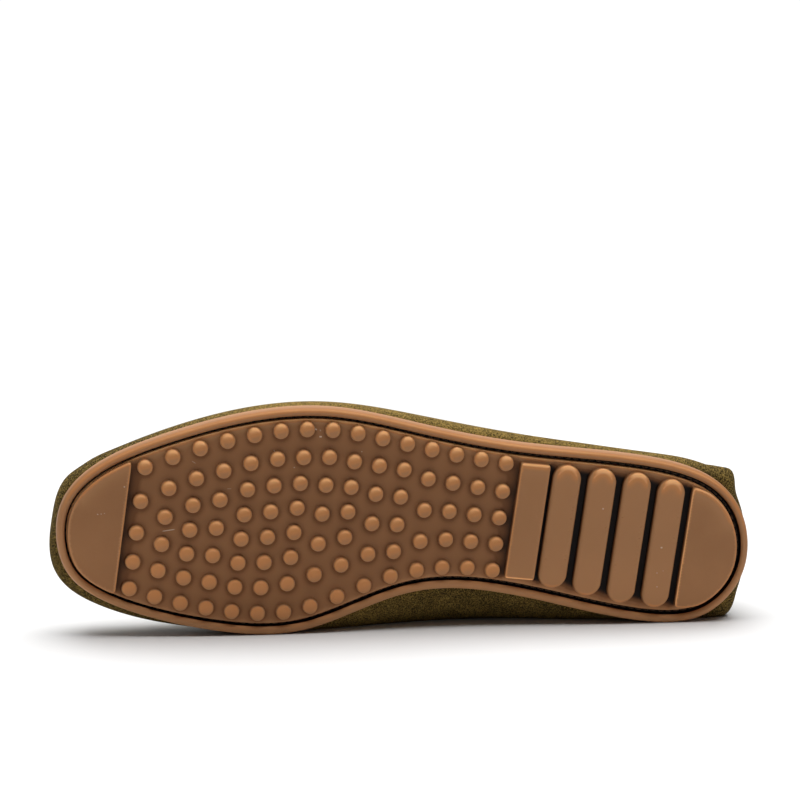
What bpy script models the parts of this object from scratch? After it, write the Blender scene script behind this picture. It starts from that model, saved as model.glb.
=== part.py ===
"""Driving loafer for the left foot, lying on its inner side.

Three pieces: a studded rubber outsole, a hollow suede upper and an insole.
Sizes are in millimetres in the shoe's own frame: x runs from heel to toe, y to the outer
side, z up from the tread.  lay_down() turns every piece on to the floor and into metres.
"""
import math

import bmesh
import bpy
import numpy as np
from mathutils import Matrix

MM = 0.001
QUARTER_TURN = 90.0
HALF_TURN = 180.0
FULL_TURN = 360.0
FINE_STEPS = 1440
INNER, OUTER = 0, 1

# Length and bend of the sole
SOLE_LENGTH = 290.0
TOE_SPRING = 9.0
SPRING_START = 195.0
ARCH_RISE = 3.0
ARCH_FROM = 45.0
ARCH_AT = 115.0
ARCH_TO = 190.0

# Sections round the shoe, one row each.  A section's station along the sole follows its
# turn: 0 is the back of the heel, 90 the outer side, 180 the toe and 270 the inner side.
# edge: side position of the rim.  out: how far the upper stands out beyond the rim where it
# is widest.  up: how far above the top of the sole that is.
AROUND_COLUMNS = ("turn", "edge", "out", "up")
AROUND = (
    (0, 2.5, 2.0, 9.0),
    (15, 20.9, 2.6, 9.0),
    (30, 34.4, 3.6, 8.0),
    (45, 40.5, 0.3, 7.0),
    (60, 41.8, 0.4, 7.0),
    (75, 42.2, 1.8, 7.0),
    (90, 46.3, 1.4, 6.5),
    (105, 50.5, 0.0, 6.0),
    (120, 45.3, -0.2, 6.0),
    (135, 34.0, -0.2, 6.0),
    (150, 21.6, 0.0, 7.0),
    (165, 7.6, 2.6, 8.0),
    (180, -9.0, 1.4, 8.0),
    (195, -27.3, 4.6, 7.0),
    (210, -38.1, 4.6, 6.0),
    (225, -44.2, 3.4, 6.0),
    (240, -47.3, 1.6, 6.0),
    (255, -43.2, 4.4, 7.0),
    (270, -26.2, 17.2, 14.0),
    (285, -22.2, 17.2, 17.0),
    (300, -26.2, 9.4, 13.0),
    (315, -29.3, 3.0, 9.0),
    (330, -26.6, 5.4, 7.0),
    (345, -14.4, 5.6, 8.0),
)

# The upper's two corners at the back of the heel: the turn where each stands, how far it
# reaches out beyond the sections above and how many degrees it spreads
CORNER_COLUMNS = ("turn", "reach", "spread")
HEEL_CORNERS = (
    (25.0, 3.2, 4.5),
    (340.0, 3.4, 5.0),
)
# How much of a corner's reach is gone at the topline
CORNER_FADE = 0.6

# Heights of the last's crest and of the topline above the tread, by station
HEIGHT_COLUMNS = ("station", "height")
CREST = (
    (0.0, 140.0),
    (20.0, 94.0),
    (50.0, 73.0),
    (85.0, 76.0),
    (120.0, 82.0),
    (150.0, 78.0),
    (170.0, 69.0),
    (190.0, 60.0),
    (210.0, 52.5),
    (230.0, 46.5),
    (250.0, 42.0),
    (275.0, 38.0),
)
TOPLINE = (
    (0.0, 60.0),
    (25.0, 56.0),
    (55.0, 51.5),
    (85.0, 50.5),
    (110.0, 53.0),
    (130.0, 58.5),
    (145.0, 65.5),
    (155.0, 69.3),
    (166.0, 71.0),
)

# Rim and plate of the outsole
RIM_SECTIONS = 72
SOLE_TOP = 7.4
PLATE_FACE = 2.8
GROOVE_FLOOR = 5.2
PLATE_EDGE = 5.35
RIM_WAIST = 4.8
# The outsole's profile from its top edge round the rim bead and the groove to the plate
RIM_COLUMNS = ("inset", "height")
RIM = (
    (1.0, SOLE_TOP),
    (0.25, 6.9),
    (0.0, 5.9),
    (0.0, 3.8),
    (0.35, 2.5),
    (1.15, 1.65),
    (2.1, 1.4),
    (3.05, 1.6),
    (3.75, 2.3),
    (3.9, 3.2),
    (3.95, GROOVE_FLOOR),
    (5.15, GROOVE_FLOOR),
    (5.2, 3.0),
    (PLATE_EDGE, PLATE_FACE),
)

# Tread: columns of studs across the sole from the toe back, one row each.
# count: studs in the column.  crowd: how far they crowd to the outer side.  sway: how far they
# draw away from the column's ends.  Both are shares of the column's length.
STUD_COLUMNS = ("count", "crowd", "sway")
STUDS = (
    (5, -0.15, 0.0),
    (6, -0.10, 0.05),
    (7, -0.10, 0.13),
    (7, -0.075, 0.0),
    (8, -0.07, 0.07),
    (8, -0.035, 0.04),
    (8, 0.025, 0.13),
    (7, 0.11, 0.0),
    (7, 0.09, 0.18),
    (6, 0.10, 0.0),
    (6, -0.01, -0.10),
    (5, 0.0, -0.10),
    (5, 0.0, 0.0),
    (5, -0.03, 0.0),
    (5, -0.03, 0.04),
)
STUD_FIRST = 257.6
STUD_PITCH = 10.67
STUD_INSET_INNER = 9.5
STUD_INSET_OUTER = 9.2
STUD_LEAN_FRONT = 0.027
STUD_LEAN_BACK = 0.006
STUD_RADIUS = 3.3
STUD_SIDES = 10
BLOCK_DRAFT = 0.15
BLOCK_ROOT = 0.8

# The bars and pads, which all slant by the same lean about one line along the sole
BAR_LEAN = 0.024
BAR_MIDDLE = 4.0
SQUARE_BAR_AT = 96.4
SQUARE_BAR_WIDTH = 12.7
SQUARE_BAR_INSET = 7.7
ROUND_BAR_FIRST = 82.7
ROUND_BAR_PITCH = 14.93
ROUND_BAR_COUNT = 4
ROUND_BAR_WIDTH = 12.2
ROUND_BAR_INSET = 6.9
ROUND_BAR_END_STEPS = 6
PAD_INSET = 5.46
PAD_CORNER = 1.4
TOE_PAD_CHORD = 262.7
HEEL_PAD_CHORD = 29.2
CHORD_STEPS = 6

# Upper
WALL = 2.0
PIECE_GAP = 0.3
FEATHER_INSET = 1.3
HEEL_CENTRE = 45.0
TOE_CENTRE = 250.0
TOE_FAN_SHARE = 0.45
CENTRE_AT_HEEL = 4.0
CENTRE_AT_TOE = -9.0
BELLY_ROUND = 0.8
ROUND_ACROSS = 2.2
ROUND_UP_BACK = 1.3
ROUND_UP_FRONT = 1.8
ROUND_FROM = 90.0
ROUND_TO = 170.0
THROAT_TURN = 98.0
THROAT_CLOSE_UP = 7.0
THROAT_SECTIONS = 5
BACK_SECTIONS = 21
FRONT_SECTIONS = 18
BELLY_LEVELS = 3
WALL_LEVELS = 5
CROWN_LEVELS = 3
SEAM_SHARE = 0.60
SEAM_HALF_WIDTH = 0.045
SEAM_RISE = 1.2
SEAM_END = 150.0
SEAM_FULL = 185.0
SEAM_END_SHARE = 0.90
COLLAR_ROUND = 0.6

# Insole
INSOLE_INSET = 4.0
INSOLE_THICK = 3.0
INSOLE_EDGE = 0.8
INSOLE_SECTIONS = 56

# How the shoe lies: the lean of its sole toward the tread side
REST_LEAN = 4.0
REST_STEPS = 20


def column(rows, names, name):
    """Returns one named column of a table."""
    return np.array([row[names.index(name)] for row in rows], dtype=float)


def closed_spline(values, turns):
    """Reads a smooth closed curve through evenly spaced values at any turn in degrees."""
    count = len(values)
    step = FULL_TURN / count
    system = 4.0 * np.eye(count) + np.roll(np.eye(count), 1, 0) + np.roll(np.eye(count), -1, 0)
    curl = np.linalg.solve(system, 6.0 * (np.roll(values, 1) - 2.0 * values + np.roll(values, -1)))
    place = np.mod(turns, FULL_TURN) / step
    low = np.floor(place).astype(int) % count
    high = (low + 1) % count
    b = place - np.floor(place)
    a = 1.0 - b
    bow = (a ** 3 - a) * curl[low] + (b ** 3 - b) * curl[high]
    return a * values[low] + b * values[high] + bow / 6.0


def smooth_table(rows, stations):
    """Reads a table of station and height with a smooth curve through its rows."""
    x = column(rows, HEIGHT_COLUMNS, "station")
    y = column(rows, HEIGHT_COLUMNS, "height")
    slope = np.gradient(y, x)
    at = np.clip(stations, x[0], x[-1])
    low = np.clip(np.searchsorted(x, at) - 1, 0, len(x) - 2)
    span = x[low + 1] - x[low]
    t = (at - x[low]) / span
    start = (1.0 + 2.0 * t) * (1.0 - t) ** 2 * y[low] + t * (1.0 - t) ** 2 * span * slope[low]
    end = t ** 2 * (3.0 - 2.0 * t) * y[low + 1] + t ** 2 * (t - 1.0) * span * slope[low + 1]
    return start + end


def ease(values, start, end):
    """Returns a smooth step from 0 at start to 1 at end."""
    t = np.clip((values - start) / (end - start), 0.0, 1.0)
    return t * t * (3.0 - 2.0 * t)


def station(turns):
    """Returns the station along the sole of each turn."""
    return SOLE_LENGTH / 2.0 * (1.0 - np.cos(np.radians(turns)))


def bend(stations):
    """Returns how far the sole rises at the arch and at the toe."""
    spring = np.clip((stations - SPRING_START) / (SOLE_LENGTH - SPRING_START), 0.0, 1.0)
    arch = ease(stations, ARCH_FROM, ARCH_AT) * (1.0 - ease(stations, ARCH_AT, ARCH_TO))
    return TOE_SPRING * spring ** 2 + ARCH_RISE * arch


def around(name, turns):
    """Reads one column of the sections at the turns given."""
    return closed_spline(column(AROUND, AROUND_COLUMNS, name), turns)


def heel_corner(turns):
    """Returns how far the corners of the heel stand out of the sections' smooth outline."""
    reach = np.zeros_like(turns)
    rows = zip(*(column(HEEL_CORNERS, CORNER_COLUMNS, name) for name in CORNER_COLUMNS))
    for turn, out, spread in rows:
        reach += out * np.exp(-((turns - turn) / spread) ** 2)
    return reach


def rim_edge(turns):
    """Returns the rim's outline and its outward normals."""
    probe = 0.5
    edge = np.stack([station(turns), around("edge", turns)], axis=-1)
    ahead = np.stack([station(turns + probe), around("edge", turns + probe)], axis=-1)
    behind = np.stack([station(turns - probe), around("edge", turns - probe)], axis=-1)
    along = ahead - behind
    along /= np.linalg.norm(along, axis=-1, keepdims=True)
    return edge, np.stack([-along[:, 1], along[:, 0]], axis=-1)


def inset_ring(turns, inset, height):
    """Returns a ring inside the rim's outline at a height above the tread."""
    edge, normal = rim_edge(turns)
    flat = edge - inset * normal
    return np.column_stack([flat, height + bend(flat[:, 0])])


def inset_sides(inset, at, steps=FINE_STEPS):
    """Returns the inner and outer side positions of an inset outline at a station."""
    turns = np.linspace(0.0, FULL_TURN, steps, endpoint=False)
    ring = inset_ring(turns, inset, 0.0)
    outer = ring[(turns > 0.0) & (turns < HALF_TURN)]
    inner = ring[turns > HALF_TURN][::-1]
    return np.interp(at, inner[:, 0], inner[:, 1]), np.interp(at, outer[:, 0], outer[:, 1])


def rings_to_faces(rings, sections):
    """Returns the quads between rings that follow each other."""
    faces = []
    for ring in range(rings - 1):
        for k in range(sections):
            n = (k + 1) % sections
            faces.append((ring * sections + k, ring * sections + n,
                          (ring + 1) * sections + n, (ring + 1) * sections + k))
    return faces


def chord_faces(first, sections):
    """Returns the faces that close a ring with straight chords from side to side."""
    half = sections // 2
    faces = [(first, first + 1, first + sections - 1)]
    for k in range(1, half - 1):
        faces.append((first + k, first + k + 1, first + sections - k - 1, first + sections - k))
    faces.append((first + half - 1, first + half, first + half + 1))
    return faces


def block(outline, draft):
    """Returns a raised block of the tread: its points and faces.

    The outline is a closed row of side points.  The free end is drawn in by the draft, and the
    root goes a little way into the plate.
    """
    along = np.roll(outline, -1, 0) - np.roll(outline, 1, 0)
    along /= np.linalg.norm(along, axis=-1, keepdims=True)
    inward = np.stack([-along[:, 1], along[:, 0]], axis=-1)
    centre = outline.mean(axis=0)
    if np.sum((centre - outline) * inward) < 0.0:
        inward = -inward
    free = outline + draft * inward
    count = len(outline)
    low = np.column_stack([free, bend(free[:, 0])])
    high = np.column_stack([outline, PLATE_FACE + BLOCK_ROOT + bend(outline[:, 0])])
    faces = [(k, (k + 1) % count, count + (k + 1) % count, count + k) for k in range(count)]
    faces.append(tuple(range(count)))
    faces.append(tuple(range(count, 2 * count)))
    return np.vstack([low, high]), faces


def arc(centre, radius, start, end, steps):
    """Returns points along an arc, turned from start to end in degrees."""
    angles = np.radians(np.linspace(start, end, steps))
    return np.column_stack([centre[0] + radius * np.cos(angles), centre[1] + radius * np.sin(angles)])


def stud_blocks():
    """Returns a block for every stud, spread across each column by the column's row."""
    blocks = []
    leans = np.linspace(STUD_LEAN_FRONT, STUD_LEAN_BACK, len(STUDS))
    rows = zip(*(column(STUDS, STUD_COLUMNS, name) for name in STUD_COLUMNS))
    for index, (count, crowd, sway) in enumerate(rows):
        at = STUD_FIRST - index * STUD_PITCH
        inner, _ = inset_sides(STUD_INSET_INNER, at)
        _, outer = inset_sides(STUD_INSET_OUTER, at)
        length = outer - inner
        t = np.linspace(0.0, 1.0, int(count))
        for share in t + t * (1.0 - t) * (crowd + sway * (1.0 - 2.0 * t)):
            centre = (at - leans[index] * length * (share - 0.5), inner + length * share)
            ring = arc(centre, STUD_RADIUS, 0.0, FULL_TURN, STUD_SIDES + 1)[:-1]
            blocks.append(block(ring, BLOCK_DRAFT))
    return blocks


def slant(outline):
    """Returns a bar's or pad's outline with the lean that they all have."""
    return np.column_stack([outline[:, 0] - BAR_LEAN * (outline[:, 1] - BAR_MIDDLE), outline[:, 1]])


def bar_blocks():
    """Returns the rectangular bar and the bars with round ends."""
    half = SQUARE_BAR_WIDTH / 2.0
    inner, outer = inset_sides(SQUARE_BAR_INSET, SQUARE_BAR_AT)
    toeward = SQUARE_BAR_AT + half
    heelward = SQUARE_BAR_AT - half
    square = np.array([(toeward, inner), (toeward, outer), (heelward, outer), (heelward, inner)])
    blocks = [block(slant(square), BLOCK_DRAFT)]
    radius = ROUND_BAR_WIDTH / 2.0
    for index in range(ROUND_BAR_COUNT):
        at = ROUND_BAR_FIRST - index * ROUND_BAR_PITCH
        inner, outer = inset_sides(ROUND_BAR_INSET, at)
        top = arc((at, outer - radius), radius, 0.0, HALF_TURN, ROUND_BAR_END_STEPS)
        low = arc((at, inner + radius), radius, HALF_TURN, FULL_TURN, ROUND_BAR_END_STEPS)
        blocks.append(block(slant(np.vstack([top, low])), BLOCK_DRAFT))
    return blocks


def chord_end(chord, side):
    """Returns where a pad's slanting chord meets its round outline on the inner or outer side."""
    at = chord
    for _ in range(CHORD_STEPS):
        across = inset_sides(PAD_INSET, at, RIM_SECTIONS)[side]
        at = chord - BAR_LEAN * (across - BAR_MIDDLE)
    return np.array([at, across])


def pad_blocks():
    """Returns the toe pad and the heel pad, cut off by a straight chord with blunt corners.

    Their round sides have the rim's own sections, so they run along the plate's edge.
    """
    blocks = []
    turns = np.linspace(-HALF_TURN, HALF_TURN, RIM_SECTIONS, endpoint=False)
    for chord, ahead in ((TOE_PAD_CHORD, 1.0), (HEEL_PAD_CHORD, -1.0)):
        ring = inset_ring(turns + HALF_TURN if ahead > 0.0 else turns, PAD_INSET, 0.0)[:, :2]
        cut = chord - BAR_LEAN * (ring[:, 1] - BAR_MIDDLE) + ahead * PAD_CORNER
        kept = ring[ahead * (ring[:, 0] - cut) > 0.0]
        blunt = np.array([0.0, PAD_CORNER])
        ends = np.array([
            chord_end(chord + ahead * PAD_CORNER, INNER),
            chord_end(chord, INNER) + blunt,
            chord_end(chord, OUTER) - blunt,
            chord_end(chord + ahead * PAD_CORNER, OUTER),
        ])
        blocks.append(block(np.vstack([kept, ends if ahead > 0.0 else ends[::-1]]), BLOCK_DRAFT))
    return blocks


def outsole_base():
    """Returns the points and faces of the outsole without its tread."""
    turns = np.linspace(0.0, FULL_TURN, RIM_SECTIONS, endpoint=False)
    insets = column(RIM, RIM_COLUMNS, "inset")
    heights = column(RIM, RIM_COLUMNS, "height")
    points = np.vstack([inset_ring(turns, inset, height) for inset, height in zip(insets, heights)])
    faces = rings_to_faces(len(RIM), RIM_SECTIONS)
    faces += chord_faces(0, RIM_SECTIONS)
    faces += chord_faces((len(RIM) - 1) * RIM_SECTIONS, RIM_SECTIONS)
    return points, faces


def merge_blocks(blocks):
    """Joins blocks into one list of points and one of faces."""
    points = []
    faces = []
    first = 0
    for block_points, block_faces in blocks:
        points.append(block_points)
        faces += [tuple(first + index for index in face) for face in block_faces]
        first += len(block_points)
    return np.vstack(points), faces


def rest_plane():
    """Returns the floor's unit normal in the shoe's frame, its offset and its long direction.

    The floor touches the rim at the inner ball and at the inner heel and leans by REST_LEAN.
    """
    turns = np.linspace(0.0, FULL_TURN, FINE_STEPS, endpoint=False)
    ring = inset_ring(turns, 0.0, RIM_WAIST)
    back = ring[ring[:, 0] < SOLE_LENGTH / 2.0]
    front = ring[ring[:, 0] >= SOLE_LENGTH / 2.0]
    slope = 0.0
    for _ in range(REST_STEPS):
        heel = back[np.argmin(back[:, 1] - slope * back[:, 0])]
        ball = front[np.argmin(front[:, 1] - slope * front[:, 0])]
        slope = (ball[1] - heel[1]) / (ball[0] - heel[0])
    along = (ball - heel) / np.linalg.norm(ball - heel)
    tilt = math.radians(REST_LEAN)
    normal = np.array([0.0, math.cos(tilt), math.sin(tilt)])
    normal -= along * (normal @ along)
    normal /= np.linalg.norm(normal)
    points, _ = outsole_base()
    return normal, float(np.min(points @ normal)), along


def upper_turns():
    """Returns the turns of the upper's sections and how many there are from heel to throat."""
    back = np.linspace(0.0, THROAT_TURN - THROAT_CLOSE_UP, BACK_SECTIONS)
    near = np.arange(1, THROAT_SECTIONS + 1) / THROAT_SECTIONS
    throat = THROAT_TURN - THROAT_CLOSE_UP * (1.0 - near) ** 2
    front = np.linspace(THROAT_TURN, HALF_TURN, FRONT_SECTIONS + 1)[1:]
    half = np.concatenate([back, throat, front])
    return np.concatenate([half, FULL_TURN - half[-2:0:-1]]), BACK_SECTIONS + THROAT_SECTIONS - 1


def centre_line(stations):
    """Returns the points of the last's long axis that the sections turn round."""
    back = np.maximum(stations, HEEL_CENTRE)
    along = np.minimum(back, TOE_CENTRE + TOE_FAN_SHARE * (back - TOE_CENTRE))
    side = CENTRE_AT_HEEL + (CENTRE_AT_TOE - CENTRE_AT_HEEL) * along / SOLE_LENGTH
    return np.stack([along, side], axis=-1)


def upper_levels(stations):
    """Returns, for each section, the level of each row as a share of the wall, and its seam rise."""
    full = ease(stations, SEAM_END, SEAM_FULL)
    seam = SEAM_END_SHARE + (SEAM_SHARE - SEAM_END_SHARE) * full
    below = (seam - SEAM_HALF_WIDTH)[:, None] * np.linspace(0.0, 1.0, WALL_LEVELS + 1)
    above_start = (seam + SEAM_HALF_WIDTH)[:, None]
    above = above_start + (1.0 - above_start) * np.linspace(0.0, 1.0, CROWN_LEVELS + 1)
    levels = np.concatenate([below, seam[:, None], above], axis=1)
    rise = np.zeros_like(levels)
    rise[:, WALL_LEVELS + 1] = SEAM_RISE * full
    return levels, rise


def grid_normals(grid):
    """Returns the outward normals of a grid of sections and levels."""
    round_way = np.roll(grid, -1, 0) - np.roll(grid, 1, 0)
    up_way = np.gradient(grid, axis=1)
    normal = np.cross(up_way, round_way)
    toe = len(grid) // 2
    normal[toe, -1] = normal[toe, -2]
    return normal / np.linalg.norm(normal, axis=-1, keepdims=True)


def upper_grid():
    """Returns the upper's outer points by section and level, and the last section of the opening."""
    turns, last_back = upper_turns()
    edge, normal = rim_edge(turns)
    stations = edge[:, 0]
    feather = edge - FEATHER_INSET * normal
    low = SOLE_TOP + PIECE_GAP + bend(feather[:, 0])
    wide = edge + around("out", turns)[:, None] * normal
    corner = heel_corner(turns)[:, None] * normal
    wide_up = SOLE_TOP + around("up", turns) + bend(stations)
    centre = centre_line(stations)
    crest = smooth_table(CREST, centre[:, 0])
    crest = np.where(stations < HEEL_CENTRE, smooth_table(CREST, stations), crest)
    top = smooth_table(TOPLINE, stations)
    share = np.clip((top - wide_up) / (crest - wide_up), 0.0, 1.0)
    index = np.arange(len(turns))
    front = (index >= last_back) & (index <= len(turns) - last_back)
    round_up = ROUND_UP_BACK + (ROUND_UP_FRONT - ROUND_UP_BACK) * ease(stations, ROUND_FROM, ROUND_TO)
    limit = np.where(front, math.pi / 2.0, np.arcsin(share ** (round_up / 2.0)))
    rows = []
    for step in np.linspace(0.0, 1.0, BELLY_LEVELS, endpoint=False):
        lean = math.radians(QUARTER_TURN * step)
        across = BELLY_ROUND * math.sin(lean) + (1.0 - BELLY_ROUND) * step
        lift = BELLY_ROUND * (1.0 - math.cos(lean)) + (1.0 - BELLY_ROUND) * step
        flat = feather + (wide + corner - feather) * across
        rows.append(np.column_stack([flat, low + (wide_up - low) * lift]))
    levels, rise = upper_levels(stations)
    for level in levels.T:
        angle = limit * level
        reach = np.clip(np.cos(angle), 0.0, 1.0) ** (2.0 / ROUND_ACROSS)
        lift = np.sin(angle) ** (2.0 / round_up)
        flat = centre + (wide - centre) * reach[:, None] + corner * (1.0 - CORNER_FADE * level[:, None])
        rows.append(np.column_stack([flat, wide_up + (crest - wide_up) * lift]))
    grid = np.stack(rows, axis=1)
    grid = weld_spine(grid, last_back)
    lift = np.concatenate([np.zeros((len(turns), BELLY_LEVELS)), rise], axis=1)
    grid = grid + lift[..., None] * grid_normals(grid)
    plane, offset, _ = rest_plane()
    below = np.minimum(grid @ plane - offset, 0.0)
    return grid - below[..., None] * plane, last_back


def weld_spine(grid, last_back):
    """Brings the two sides together along the spine in front of the throat."""
    sections = len(grid)
    for k in range(last_back, sections // 2 + 1):
        middle = (grid[k, -1] + grid[-k, -1]) / 2.0
        grid[k, -1] = middle
        grid[-k, -1] = middle
    return grid


def upper_solid():
    """Returns the points and faces of the hollow upper."""
    outer, last_back = upper_grid()
    sections, levels, _ = outer.shape
    normal = grid_normals(outer)
    normal = weld_spine(normal, last_back)
    normal /= np.linalg.norm(normal, axis=-1, keepdims=True)
    inner = outer - WALL * normal
    inner[:, 0, 2] = outer[:, 0, 2]
    inner = weld_spine(inner, last_back)
    collar = (outer[:, -1] + inner[:, -1]) / 2.0
    rim_way = outer[:, -1] - outer[:, -2]
    rim_way /= np.linalg.norm(rim_way, axis=-1, keepdims=True)
    collar = collar + COLLAR_ROUND * rim_way
    points = []
    outer_id = np.zeros((sections, levels), dtype=int)
    inner_id = np.zeros((sections, levels), dtype=int)
    collar_id = np.zeros(sections, dtype=int)
    for k in range(sections):
        mirror = (sections - k) % sections
        on_spine = last_back <= k <= sections - last_back
        welded = on_spine and mirror < k
        for level in range(levels):
            top = level == levels - 1
            for ids, grid in ((outer_id, outer), (inner_id, inner)):
                if top and welded:
                    ids[k, level] = ids[mirror, level]
                    continue
                ids[k, level] = len(points)
                points.append(grid[k, level])
        if welded:
            collar_id[k] = collar_id[mirror]
        elif not on_spine or k == last_back:
            collar_id[k] = len(points)
            points.append(collar[k] if not on_spine else throat_point(collar, last_back))
    faces = []
    for k in range(sections):
        n = (k + 1) % sections
        for level in range(levels - 1):
            up = level + 1
            faces.append((outer_id[k, level], outer_id[n, level], outer_id[n, up], outer_id[k, up]))
            faces.append((inner_id[k, up], inner_id[n, up], inner_id[n, level], inner_id[k, level]))
        faces.append((inner_id[k, 0], inner_id[n, 0], outer_id[n, 0], outer_id[k, 0]))
        if last_back <= k < sections - last_back:
            continue
        top = levels - 1
        faces.append((outer_id[k, top], outer_id[n, top], collar_id[n], collar_id[k]))
        faces.append((collar_id[k], collar_id[n], inner_id[n, top], inner_id[k, top]))
    return np.array(points), clean_faces(faces)


def throat_point(collar, last_back):
    """Returns the middle of the collar's edge at the throat."""
    point = (collar[last_back] + collar[-last_back]) / 2.0
    point[0] -= COLLAR_ROUND
    return point


def clean_faces(faces):
    """Drops repeated corners where two sides meet on the spine."""
    kept = []
    for face in faces:
        corners = [int(index) for n, index in enumerate(face) if index not in face[:n]]
        if len(corners) > 2:
            kept.append(tuple(corners))
    return kept


def insole_solid():
    """Returns the points and faces of the insole."""
    turns = np.linspace(0.0, FULL_TURN, INSOLE_SECTIONS, endpoint=False)
    low = SOLE_TOP + PIECE_GAP
    high = low + INSOLE_THICK
    profile = (
        (INSOLE_INSET, low),
        (INSOLE_INSET, high - INSOLE_EDGE),
        (INSOLE_INSET + INSOLE_EDGE, high),
    )
    points = np.vstack([inset_ring(turns, inset, height) for inset, height in profile])
    faces = rings_to_faces(len(profile), INSOLE_SECTIONS)
    faces += chord_faces(0, INSOLE_SECTIONS)
    faces += chord_faces((len(profile) - 1) * INSOLE_SECTIONS, INSOLE_SECTIONS)
    return points, faces


def lay_down(pieces):
    """Returns the matrix that lays the shoe on the floor, in metres, about its own middle."""
    plane, offset, along = rest_plane()
    across = np.cross(plane, -along)
    turn = np.stack([-along, across, plane])
    points = np.vstack([solid[0] for solid in pieces]) @ turn.T
    middle = (points.min(axis=0) + points.max(axis=0)) / 2.0
    shift = np.array([middle[0], middle[1], offset])
    matrix = Matrix.Identity(4)
    for row in range(3):
        for col in range(3):
            matrix[row][col] = float(turn[row, col]) * MM
        matrix[row][3] = -float(shift[row]) * MM
    return matrix


def make_mesh(name, solid, matrix):
    """Makes a closed mesh with outward faces from points and faces."""
    points, faces = solid
    mesh = bpy.data.meshes.new(name)
    mesh.from_pydata([tuple(point) for point in points.tolist()], [], faces)
    mesh.transform(matrix)
    work = bmesh.new()
    work.from_mesh(mesh)
    bmesh.ops.recalc_face_normals(work, faces=work.faces)
    work.to_mesh(mesh)
    work.free()
    mesh.update()
    return mesh


def make_material(name, colour, roughness):
    """Makes a plain material of one colour."""
    material = bpy.data.materials.new(name)
    material.use_nodes = True
    shader = material.node_tree.nodes["Principled BSDF"]
    shader.inputs["Base Color"].default_value = (*colour, 1.0)
    shader.inputs["Roughness"].default_value = roughness
    return material


def add_piece(collection, name, mesh, material):
    """Adds a mesh as a named piece with its own material."""
    for polygon in mesh.polygons:
        polygon.use_smooth = True
    mesh.materials.append(material)
    piece = bpy.data.objects.new(name, mesh)
    collection.objects.link(piece)
    return piece


def join_tread(base, tread, collection):
    """Returns the mesh of the base with the tread blocks joined to it."""
    body = bpy.data.objects.new("outsole_base", base)
    blocks = bpy.data.objects.new("tread_blocks", tread)
    collection.objects.link(body)
    collection.objects.link(blocks)
    union = body.modifiers.new("tread", "BOOLEAN")
    union.operation = "UNION"
    union.solver = "EXACT"
    union.object = blocks
    graph = bpy.context.evaluated_depsgraph_get()
    joined = bpy.data.meshes.new_from_object(body.evaluated_get(graph))
    bpy.data.objects.remove(body)
    bpy.data.objects.remove(blocks)
    return joined


def main():
    """Builds the loafer."""
    for item in list(bpy.data.objects):
        bpy.data.objects.remove(item)
    collection = bpy.data.collections.new("loafer")
    bpy.context.scene.collection.children.link(collection)
    base = outsole_base()
    tread = merge_blocks(stud_blocks() + bar_blocks() + pad_blocks())
    upper = upper_solid()
    insole = insole_solid()
    matrix = lay_down((base, tread, upper, insole))
    sole_mesh = join_tread(make_mesh("base", base, matrix), make_mesh("tread", tread, matrix), collection)
    add_piece(collection, "outsole", sole_mesh, make_material("gum_rubber", (0.40, 0.20, 0.09), 0.5))
    suede = make_material("olive_suede", (0.10, 0.08, 0.025), 0.95)
    add_piece(collection, "upper", make_mesh("upper", upper, matrix), suede)
    leather = make_material("tan_leather", (0.42, 0.25, 0.12), 0.6)
    add_piece(collection, "insole", make_mesh("insole", insole, matrix), leather)


main()
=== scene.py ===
"""Looks of a left driving loafer that lies on its inner side and shows its studded sole.

Sizes are in millimetres in the shoe's own frame: x runs from heel to toe, y to the outer side and
z up from the tread.  Last.lay() turns points on to the floor and into the frame's metres.
"""
import logging
import math
from dataclasses import dataclass, field, replace
from enum import Enum
from typing import NamedTuple, Union

import bmesh
import bpy
import numpy as np
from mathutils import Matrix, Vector
from mathutils.geometry import delaunay_2d_cdt


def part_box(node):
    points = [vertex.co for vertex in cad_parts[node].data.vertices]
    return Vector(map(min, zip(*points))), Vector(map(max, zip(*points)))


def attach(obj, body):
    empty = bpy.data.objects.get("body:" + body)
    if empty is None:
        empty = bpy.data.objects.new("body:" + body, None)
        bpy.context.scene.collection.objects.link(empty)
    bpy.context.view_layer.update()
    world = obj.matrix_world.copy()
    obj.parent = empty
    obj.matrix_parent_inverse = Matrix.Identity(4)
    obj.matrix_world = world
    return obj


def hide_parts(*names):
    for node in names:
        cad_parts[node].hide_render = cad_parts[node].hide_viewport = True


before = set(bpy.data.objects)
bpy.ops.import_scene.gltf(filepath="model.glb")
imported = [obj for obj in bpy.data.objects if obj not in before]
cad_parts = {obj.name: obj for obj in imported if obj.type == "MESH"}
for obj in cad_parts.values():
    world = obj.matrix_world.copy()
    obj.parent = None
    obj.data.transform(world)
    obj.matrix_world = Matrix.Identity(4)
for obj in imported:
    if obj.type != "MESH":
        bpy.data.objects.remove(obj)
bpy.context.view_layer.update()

LOG = logging.getLogger("loafer")
ROOT = "root"
MM = 0.001
HALF_TURN = 180.0
FULL_TURN = 360.0
QUARTER = math.pi / 2.0
FINE_STEPS = 1440
CORNER_GRAIN = 4.0
CLOSE = 1e-6
Array = np.ndarray
Floats = Union[float, Array]
Colour = tuple[float, float, float]
Span = tuple[float, float]


class Slot(Enum):
    """Material slots of the record."""

    RUBBER = "gum_rubber"
    SUEDE = "olive_suede"
    LEATHER = "tan_leather"


class Section(NamedTuple):
    """A section round the shoe: the rim's side position and where the upper is widest."""

    turn: float
    edge: float
    out: float
    up: float


class Height(NamedTuple):
    """A height above the tread at a station along the sole."""

    station: float
    height: float


class Corner(NamedTuple):
    """A corner that the smooth sections miss: its turn, how far out it reaches and its spread."""

    turn: float
    reach: float
    spread: float


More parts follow.
